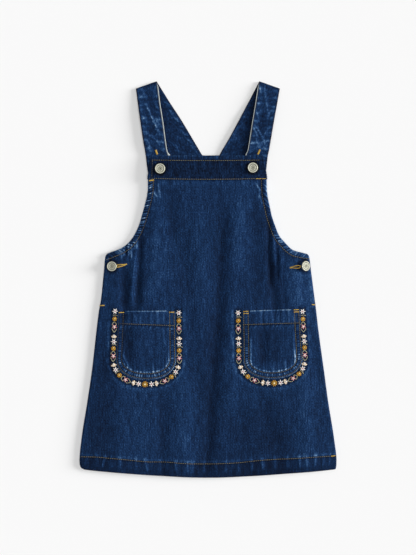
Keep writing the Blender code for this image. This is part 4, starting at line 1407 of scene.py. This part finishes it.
def make_button(button):
    """Rings of the profile round the neck's axis, then a lean about the y axis, then the place on cloth."""
    share, under_rim, tarnish = np.array(BUTTON_FACE).T
    radius = np.append(share, NECK_SHARE)[:, None] * button.radius
    height = np.append(under_rim + BUTTON_CAP + button.neck, 0.0)[:, None]
    angle = ring_angles(BUTTON_FACETS)
    lean = math.radians(button.lean)
    x, y, z = np.broadcast_arrays(radius * np.cos(angle), radius * np.sin(angle), height)
    x, z = x * math.cos(lean) + z * math.sin(lean), z * math.cos(lean) - x * math.sin(lean)
    top = band_top if button.on_band else front_top
    seat = top(button.x + x[-1], button.y + y[-1]).max() + abs(x[-1].max() * math.sin(lean)) - SUNK_NECK
    points = stacked(x + button.x, y + button.y, z + seat)
    index = numbered(len(radius), BUTTON_FACETS)
    after = np.roll(index, -1, axis=1)
    quads = stacked(index[:-1], index[1:], after[1:], after[:-1]).reshape(-1, 4)
    faces = quads.tolist() + [index[0].tolist(), index[-1, ::-1].tolist()]
    thing = finish_mesh(f"{button.name}_cap", points.reshape(-1, 3), faces)
    # The button's painted shade moves its whole face towards the tarnished colour.
    tarnish = np.repeat(np.append(button.dull + (1 - button.dull) * tarnish, 1.0), BUTTON_FACETS)
    put_facts(thing, {"tarnish": tarnish}, points.reshape(-1, 3)[:, :2])
    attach(thing, "root")
    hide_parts(button.name)
    print(f"{thing.name}: face at {(z.max() + seat):.1f} mm")
    return thing


buttons = [make_button(button) for button in BUTTONS]

# %% [markdown]
# ## Embroidered borders
#
# A border of small flowers and stars goes round each pocket on the skirt. It is machine embroidery in satin
# stitch, so every petal is a raised pad of thread. A motif is a few rings of petals and some bars, described
# round its own middle. The border repeats four motifs, the same from both upper corners, and meets in one
# large daisy under the middle of the pocket.

# %% Motifs


def petals(count, inner, outer, width, first=90.0):
    """Rods that stand round a centre: each runs straight out from the inner to the outer radius."""
    angle = np.radians(first + 360 * np.arange(count) / count)
    out = stacked(np.cos(angle), np.sin(angle))
    return np.hstack([out * inner, out * outer, np.full((count, 1), width)])


def bars(width, *corners):
    """Rods from corner to corner of an open line, all of one width."""
    line = np.array(corners, dtype=float)
    return np.hstack([line[:-1], line[1:], np.full((len(line) - 1, 1), width)])


def each(*rows):
    """Rods given one by one: start x, start y, end x, end y, width."""
    return np.array(rows, dtype=float)


# Each motif lies in the border's own axes: x along the border, y away from the pocket.
MOTIFS = {
    "star": [
        ("white", POINT_SHAPE, petals(6, 0.4, 4.2, 1.6, 30)),
        ("blush", STITCH_SHAPE, petals(3, 0.05, 0.8, 0.95)),
    ],
    "marigold": [
        ("olive", STITCH_SHAPE, bars(0.9, (-5.0, -2.6), (-5.5, 1.2), (-4.5, 4.6))),
        ("mustard", PETAL_SHAPE, petals(7, 0.4, 3.4, 2.3, 0)),
        ("ochre", STITCH_SHAPE, petals(7, 1.3, 3.1, 0.6, 25)),
        ("straw", PETAL_SHAPE, each((-1.7, 0.3, 0.3, 0.2, 1.3))),
    ],
    "rosebud": [
        ("olive", STITCH_SHAPE, bars(0.9, (-1.8, -3), (-4.3, -2.9), (-7, -0.3), (-4.3, 2.9), (-1.8, 3))),
        ("olive", STITCH_SHAPE, bars(0.9, (2.2, -3.1), (4.4, -2.8), (8.0, 0.0), (4.4, 2.8), (2.2, 3.1))),
        ("rose", POINT_SHAPE, petals(5, 1.4, 3.9, 1.5, 0)),
        ("pink", PETAL_SHAPE, petals(5, 0.3, 3.0, 1.6, 0)),
        ("white", STITCH_SHAPE, petals(4, 0.1, 1.1, 1.0)),
    ],
    "bellflower": [
        ("cream", PETAL_SHAPE, each((0.7, 0.5, -0.3, 3.8, 2.3), (0.7, -0.5, -0.3, -3.8, 2.3))),
        ("cream", POINT_SHAPE, each((0.2, 0.5, -2.5, 2.2, 1.6), (0.2, -0.5, -2.5, -2.2, 1.6))),
        ("cream", PETAL_SHAPE, each((0.2, 0.3, 2.2, 1.8, 1.8), (0.2, -0.3, 2.2, -1.8, 1.8))),
        ("white", PETAL_SHAPE, each((1.2, 0.0, -3.2, 0.0, 1.6))),
    ],
    "daisy": [
        ("mustard", POINT_SHAPE, petals(10, 0.8, 4.9, 2.0, 0)),
        ("ochre", STITCH_SHAPE, petals(10, 1.7, 3.2, 0.6, 18)),
        ("straw", STITCH_SHAPE, petals(5, 0.2, 1.5, 1.3)),
    ],
}
BORDER_ORDER = ["star", "marigold", "rosebud", "bellflower"] * 3 + ["star", "daisy"]
BORDER_STEPS = [11.1, 11.2, 14.3, 7.2, 9.7, 10.9, 13.3, 7.2, 9.5, 10.9, 12.6, 7.0, 9.3]
PAD_HEIGHT = 0.75
PETAL_NOISE = 0.14
BORDER_SEEDS = {"left": 17, "right": 29}


def border_places(patch):
    """Each motif's name, place and direction, counted in each half from its own corner."""
    line = pocket_outline(patch, *patch.border[:3])
    total = length_along(line)[-1]
    border = patch.border
    start, end, middle = border.start_left, total - border.start_right, total / 2 + border.middle
    share = np.cumsum([0.0] + BORDER_STEPS) / sum(BORDER_STEPS)
    names = BORDER_ORDER + BORDER_ORDER[-2::-1]
    at = np.concatenate([start + (middle - start) * share, end + (middle - end) * share[-2::-1]])
    forward = unit(at_length(line, at, directions(line)))
    forward[len(BORDER_ORDER) :] *= -1
    return list(zip(names, at_length(line, at), forward))


THREAD_LAYERS = {"mustard": 1, "rose": 1, "pink": 2, "ochre": 3, "straw": 4, "white": 3, "blush": 6}


def border_rods(patch, random):
    """Rods of all motifs, gathered by thread and shape. Each petal is off by a hair, as sewn ones are."""
    gathered = {}
    for name, place, forward in border_places(patch):
        axes = np.array([forward, left_of(forward)])
        for thread, shape, rows in MOTIFS[name]:
            noise = random.normal(0, PETAL_NOISE, (len(rows), 4))
            first = place + (rows[:, :2] + noise[:, :2]) @ axes
            last = place + (rows[:, 2:4] + noise[:, 2:]) @ axes
            block = np.column_stack([first, last, rows[:, 4]])
            gathered.setdefault((thread, tuple(shape)), []).append(block)
    return gathered


def embroider(patch):
    """One mesh for each thread colour, its pads lying on the front's height."""
    gathered = border_rods(patch, np.random.default_rng(BORDER_SEEDS[patch.side]))
    meshes = {}
    for (thread, shape), blocks in gathered.items():
        rows = np.concatenate(blocks)
        lift = 0.2 + THREAD_LAYERS.get(thread, 0) * 0.22
        ends = [on_cloth(places, front_top, lift) for places in (rows[:, :2], rows[:, 2:4])]
        width = rows[:, 4]
        pads = rods(*ends, width, PAD_HEIGHT * np.clip(width, 0.8, 1.4), shape, bow=0.3, facets=8)
        meshes.setdefault(thread, []).append(pads)
    return {t: thread_mesh(f"embroidery_{patch.side}_{t}", parts) for t, parts in meshes.items()}


embroidery = [embroider(patch) for patch in POCKETS]

# %% [markdown]
# ## Colours and nodes
#
# Colours are written as the sRGB hex values that a picture editor shows, and one function turns them to the
# linear values that a shader mixes. One more function adds a node with its settings and its links, and every
# material below is a short list of such calls.

# %% Helpers for materials


def linear(code):
    """The sRGB curve undone: below 0.04045 a straight line, above it the power 2.4."""
    parts = np.array([int(code[i : i + 2], 16) for i in (1, 3, 5)]) / 255
    parts = np.where(parts <= 0.04045, parts / 12.92, ((parts + 0.055) / 1.055) ** 2.4)
    return (*parts.tolist(), 1.0)


def add(tree, kind, settings=()):
    """A node of that kind. A setting is a property or a socket, and another node's output is linked to it."""
    node = tree.nodes.new(kind)
    for name, value in dict(settings).items():
        if isinstance(value, bpy.types.NodeSocket):
            tree.links.new(value, node.inputs[name])
        elif isinstance(name, str) and hasattr(node, name):
            setattr(node, name, value)
        else:
            node.inputs[name].default_value = value
    return node


def start_material(name):
    """An empty node tree with an output, and its Principled shader linked in."""
    material = bpy.data.materials.new(name)
    material.use_nodes = True
    tree = material.node_tree
    tree.nodes.clear()
    shader = add(tree, "ShaderNodeBsdfPrincipled")
    add(tree, "ShaderNodeOutputMaterial", {"Surface": shader.outputs[0]})
    return material, tree, shader


def fill_ramp(node, stops):
    """Gives a colour ramp its (place, hex) stops, and returns its colour."""
    elements = node.color_ramp.elements
    while len(elements) < len(stops):
        elements.new(0.5)
    for element, (place, code) in zip(elements, stops):
        element.position = place
        element.color = linear(code)
    return node.outputs[0]


# %% [markdown]
# ## Indigo denim
#
# Denim is a 3/1 twill: indigo warp over undyed weft. Ring dyeing leaves the warp's core white, so wear shows
# pale, and uneven yarn gives fine streaks along the warp. The material works out one number, how pale the
# cloth is at each place, and a ramp of indigo shades turns it to colour. The number starts from the worn
# marks, painted shade and painted highlight that the mesh carries, and adds noise at three real scales.
# Twill lines are 0.9 mm apart on the real cloth. That is finer than a pixel of the picture, so they are drawn
# at twice that.

# %% Denim
Grain = namedtuple("Grain", "across along detail strength")
DENIM_GRAIN = [
    Grain(1.8, 12.0, 2.0, 0.52),  # slubs of the warp, mm
    Grain(1.5, 2.2, 2.0, 0.66),  # flecks where weft shows
    Grain(7.0, 34.0, 2.0, 0.26),  # streaks of the wash
]
TWILL_PITCH, TWILL_DEGREES = 1.9, 27
WAVE = 2 * math.pi / 20  # a wave texture of this scale has one line in each unit
INDIGO = [
    (0.00, "#030813"), (0.22, "#07142a"), (0.42, "#0e2341"), (0.60, "#19365e"),
    (0.78, "#36577f"), (0.90, "#6686a8"), (1.00, "#a3b9cc"),
]
ECRU = "#9aa3a4"


def denim(name, base, grain):
    """Paleness = base + worn marks and painted shade + the grain's noises; a ramp makes it indigo; twill and
    grain are the bump.
    """
    material, tree, shader = start_material(name)
    sum_of = {"operation": "MULTIPLY_ADD"}
    cloth = add(tree, "ShaderNodeUVMap", {"uv_map": "cloth"}).outputs[0]
    wear_and_shade, ecru = (
        add(tree, "ShaderNodeAttribute", {"attribute_name": fact}).outputs["Fac"] for fact in ("wear_and_shade", "ecru")
    )
    start = base - sum(row.strength for row in grain) / 2
    pale = add(tree, "ShaderNodeMath", sum_of | {0: wear_and_shade, 1: 1.0, 2: start}).outputs[0]
    noises = []
    for row in grain:
        scale = (1 / (row.across * MM), 1 / (row.along * MM), 1.0)
        place = add(tree, "ShaderNodeMapping", {"Vector": cloth, "Scale": scale}).outputs[0]
        noise = add(tree, "ShaderNodeTexNoise", {"Vector": place, "Scale": 1.0, "Detail": row.detail})
        noises.append(noise.outputs[0])
        pale = add(tree, "ShaderNodeMath", sum_of | {0: noises[-1], 1: row.strength, 2: pale}).outputs[0]
    angle = (0, 0, math.radians(TWILL_DEGREES))
    turned = add(tree, "ShaderNodeMapping", {"Vector": cloth, "Rotation": angle}).outputs[0]
    wave = {"Vector": turned, "Scale": WAVE / (TWILL_PITCH * MM), "Distortion": 1.2, "Detail": 1.0}
    twill = add(tree, "ShaderNodeTexWave", wave).outputs["Fac"]
    pale = add(tree, "ShaderNodeMath", sum_of | {0: twill, 1: 0.05, 2: pale}).outputs[0]
    colour = fill_ramp(add(tree, "ShaderNodeValToRGB", {"Fac": pale}), INDIGO)
    mixed = add(tree, "ShaderNodeMix", {"data_type": "RGBA", 0: ecru, 6: colour, 7: linear(ECRU)})
    height = add(tree, "ShaderNodeMath", sum_of | {0: noises[1], 1: 0.6, 2: twill}).outputs[0]
    bump = add(tree, "ShaderNodeBump", {"Height": height, "Strength": 0.5, "Distance": 0.35 * MM})
    tree.links.new(mixed.outputs[2], shader.inputs["Base Color"])
    tree.links.new(bump.outputs[0], shader.inputs["Normal"])
    shader.inputs["Roughness"].default_value = 0.9
    shader.inputs["Specular IOR Level"].default_value = 0.08
    shader.inputs["Sheen Weight"].default_value = 0.02
    shader.inputs["Sheen Roughness"].default_value = 0.6
    shader.inputs["Sheen Tint"].default_value = linear("#8fb0dc")
    return material


def dress_in(material, *things):
    """Gives each piece that one material."""
    for thing in things:
        thing.data.materials.clear()
        thing.data.materials.append(material)


skirt_denim = denim("indigo denim 3/1 twill, washed", 0.44, DENIM_GRAIN)
band_grain = [Grain(1.8, 14.0, 2.0, 0.75), Grain(1.8, 3.0, 2.0, 0.80), Grain(5.0, 12.0, 2.0, 0.35)]
band_denim = denim("indigo denim 3/1 twill, two layers, dark", 0.27, band_grain)
strap_grain = [Grain(1.8, 5.0, 2.0, 0.45), Grain(2.6, 2.8, 3.0, 0.72), Grain(6.0, 8.0, 3.0, 0.42)]
strap_denim = denim("indigo denim 3/1 twill, mottled by the wash", 0.38, strap_grain)
dress_in(skirt_denim, front, back, *pockets)
dress_in(band_denim, band)
dress_in(strap_denim, *[piece for piece, _ in straps.values()])

# %% [markdown]
# ## Threads
#
# Topstitch on jeans is a thick spun polyester in old gold, and embroidery is shiny rayon. Both are twisted
# from plies, and that is what a close look shows: slanting lines along each stitch. The lines are worked out
# on the rod's own map, from how far along it and how far round it a place is. Real plies are 0.3 mm apart,
# and they are drawn at twice that.

# %% Thread materials
PLY_PITCH, PLY_DEGREES = 0.6, 35
FLECKS = 0.3  # flecks of uneven dye in a mm
# The navy of the painted shade on topstitch.
THREAD_SHADE_COLOUR = "#16223a"


def thread(name, light, dark, roughness, sheen):
    """Slanting stripes between two shades of thread, which also raise its plies. Where it has painted shade,
    it goes to navy.
    """
    material, tree, shader = start_material(name)
    cloth = add(tree, "ShaderNodeUVMap", {"uv_map": "cloth"}).outputs[0]
    angle = (0, 0, math.radians(PLY_DEGREES))
    turned = add(tree, "ShaderNodeMapping", {"Vector": cloth, "Rotation": angle}).outputs[0]
    wave = {"Vector": turned, "Scale": WAVE / (PLY_PITCH * MM), "Distortion": 0.8}
    plies = add(tree, "ShaderNodeTexWave", wave).outputs["Fac"]
    place = add(tree, "ShaderNodeTexCoord").outputs["Object"]
    noise = add(tree, "ShaderNodeTexNoise", {"Vector": place, "Scale": FLECKS / MM, "Detail": 2.0}).outputs[0]
    share = add(tree, "ShaderNodeMath", {"operation": "MULTIPLY_ADD", 0: plies, 1: 0.5, 2: noise}).outputs[0]
    colour = fill_ramp(add(tree, "ShaderNodeValToRGB", {"Fac": share}), [(0.15, dark), (0.85, light)])
    painted_thread_shade = add(tree, "ShaderNodeAttribute", {"attribute_name": "painted_thread_shade"}).outputs["Fac"]
    mixed = add(tree, "ShaderNodeMix", {"data_type": "RGBA", 0: painted_thread_shade, 6: colour, 7: linear(THREAD_SHADE_COLOUR)})
    bump = add(tree, "ShaderNodeBump", {"Height": plies, "Strength": 0.5, "Distance": 0.1 * MM})
    tree.links.new(mixed.outputs[2], shader.inputs["Base Color"])
    tree.links.new(bump.outputs[0], shader.inputs["Normal"])
    shader.inputs["Roughness"].default_value = roughness
    shader.inputs["Sheen Weight"].default_value = sheen
    shader.inputs["Specular IOR Level"].default_value = 0.3
    return material


old_gold = thread("spun polyester topstitch, old gold", "#82795a", "#494535", 0.75, 0.05)
bright_gold = thread("spun polyester bartack, bright gold", "#d2ad4c", "#8a7030", 0.65, 0.05)
navy = thread("spun polyester topstitch, navy", "#16284a", "#0a1428", 0.8, 0.0)
cotton_edge = thread("undyed cotton, folded edge", "#c3c9c8", "#868c8c", 0.9, 0.1)
dress_in(old_gold, topstitch_front, topstitch_band, *topstitch_pockets)
dress_in(navy, *strap_threads)
dress_in(bright_gold, bartacks_front, bartacks_band, *bartacks_pockets, *bartack_straps, buttonholes)
dress_in(cotton_edge, *strap_edges)
EMBROIDERY = {
    "white": ("#f4f0ec", "#cbc4c0"),
    "blush": ("#c4605c", "#8f3f40"),
    "cream": ("#e8d6bd", "#b59d80"),
    "pink": ("#dfb0ac", "#b27f7f"),
    "rose": ("#b9606c", "#7a3340"),
    "mustard": ("#be8d20", "#76560b"),
    "ochre": ("#835c12", "#4c3608"),
    "straw": ("#efdfae", "#c19d55"),
    "olive": ("#a9a588", "#6f6c55"),
}
for thread_name, (light, dark) in EMBROIDERY.items():
    rayon = thread(f"rayon embroidery thread, {thread_name}", light, dark, 0.45, 0.1)
    dress_in(rayon, *[meshes[thread_name] for meshes in embroidery])

# %% [markdown]
# ## Button metal
#
# The buttons are zinc alloy with an aged nickel plating: dull, slightly green, rubbed bright on the rims and
# dark in the grooves. The mesh says where the grooves are and where the right side button has painted
# shade, and noise makes the ageing uneven.

# %% Metal
BLOTCHES = 0.7  # blotches of tarnish in a mm
PLATING = [(0.15, "#c4c4b4"), (0.50, "#acac9c"), (0.95, "#77776a")]


def aged_metal(name):
    """Bright plating mixed with tarnish by groove and noise; the same noise varies the roughness."""
    material, tree, shader = start_material(name)
    place = add(tree, "ShaderNodeTexCoord").outputs["Object"]
    groove = add(tree, "ShaderNodeAttribute", {"attribute_name": "tarnish"}).outputs["Fac"]
    blotches = {"Vector": place, "Scale": BLOTCHES / MM, "Detail": 3.0}
    noise = add(tree, "ShaderNodeTexNoise", blotches).outputs[0]
    age = add(tree, "ShaderNodeMath", {"operation": "MULTIPLY_ADD", 0: noise, 1: 0.45, 2: groove}).outputs[0]
    colour = fill_ramp(add(tree, "ShaderNodeValToRGB", {"Fac": age}), PLATING)
    rough = add(tree, "ShaderNodeMapRange", {"Value": noise, "To Min": 0.38, "To Max": 0.6})
    bump = add(tree, "ShaderNodeBump", {"Height": noise, "Strength": 0.25, "Distance": 0.1 * MM})
    tree.links.new(colour, shader.inputs["Base Color"])
    tree.links.new(rough.outputs[0], shader.inputs["Roughness"])
    tree.links.new(bump.outputs[0], shader.inputs["Normal"])
    shader.inputs["Metallic"].default_value = 0.5
    return material


dress_in(aged_metal("zinc alloy, aged nickel plating"), *buttons)

# %% [markdown]
# ## Floor, light and camera
#
# The picture looks straight down on the dress, on white. A pale floor and three lights are enough: a weak
# white sky, a softbox overhead, and a low softbox at the right. The low one leaves a soft shadow along each
# left edge, and its angle shows the folds.

# %% Floor
FLOOR_HALF = 4.0
floor_mesh = bpy.data.meshes.new("floor")
corners = [(FLOOR_HALF * x, FLOOR_HALF * y, -0.1 * MM) for x, y in ((-1, -1), (1, -1), (1, 1), (-1, 1))]
floor_mesh.from_pydata(corners, [], [(0, 1, 2, 3)])
floor = put_in_scene("floor", floor_mesh)
paper, _, paper_shader = start_material("matt white paper")
paper_shader.inputs["Base Color"].default_value = linear("#f3f3f3")
paper_shader.inputs["Roughness"].default_value = 1.0
paper_shader.inputs["Specular IOR Level"].default_value = 0.0
dress_in(paper, floor)

# %% Light
SKY = 0.16
Lamp = namedtuple("Lamp", "name strength height turn spread")  # degrees over the floor, and round it
LAMPS = [Lamp("overhead softbox", 1.72, 88.0, 0.0, 40.0), Lamp("low side softbox", 3.8, 17.0, 6.0, 24.0)]
world = bpy.data.worlds.new("white sky")
world.use_nodes = True
sky = world.node_tree.nodes["Background"].inputs
sky["Color"].default_value = (1.0, 1.0, 1.0, 1.0)
sky["Strength"].default_value = SKY
bpy.context.scene.world = world
for lamp in LAMPS:
    light = bpy.data.lights.new(lamp.name, "SUN")
    light.energy = lamp.strength
    light.angle = math.radians(lamp.spread)
    carrier = put_in_scene(lamp.name, light)
    carrier.rotation_euler = (0.0, math.radians(90 - lamp.height), math.radians(lamp.turn))
bpy.context.scene.view_settings.view_transform = "Standard"

# %% Camera
PIXEL_MM = 1.4  # width of one of the picture's pixels on the dress
PICTURE_HIGH = 555
LENS, SENSOR = 85.0, 36.0
VIEW_CENTRE_Y = 2.8
CLOTH_MIDDLE = 2.5
distance = PIXEL_MM * PICTURE_HIGH * LENS / SENSOR
camera_data = bpy.data.cameras.new("camera")
camera_data.lens = LENS
camera_data.sensor_width = SENSOR
camera_data.clip_end = 50.0
camera = put_in_scene("camera", camera_data)
camera.location = (0.0, VIEW_CENTRE_Y * MM, (distance + CLOTH_MIDDLE) * MM)
bpy.context.scene.camera = camera
print(f"camera {distance:.0f} mm over the dress")
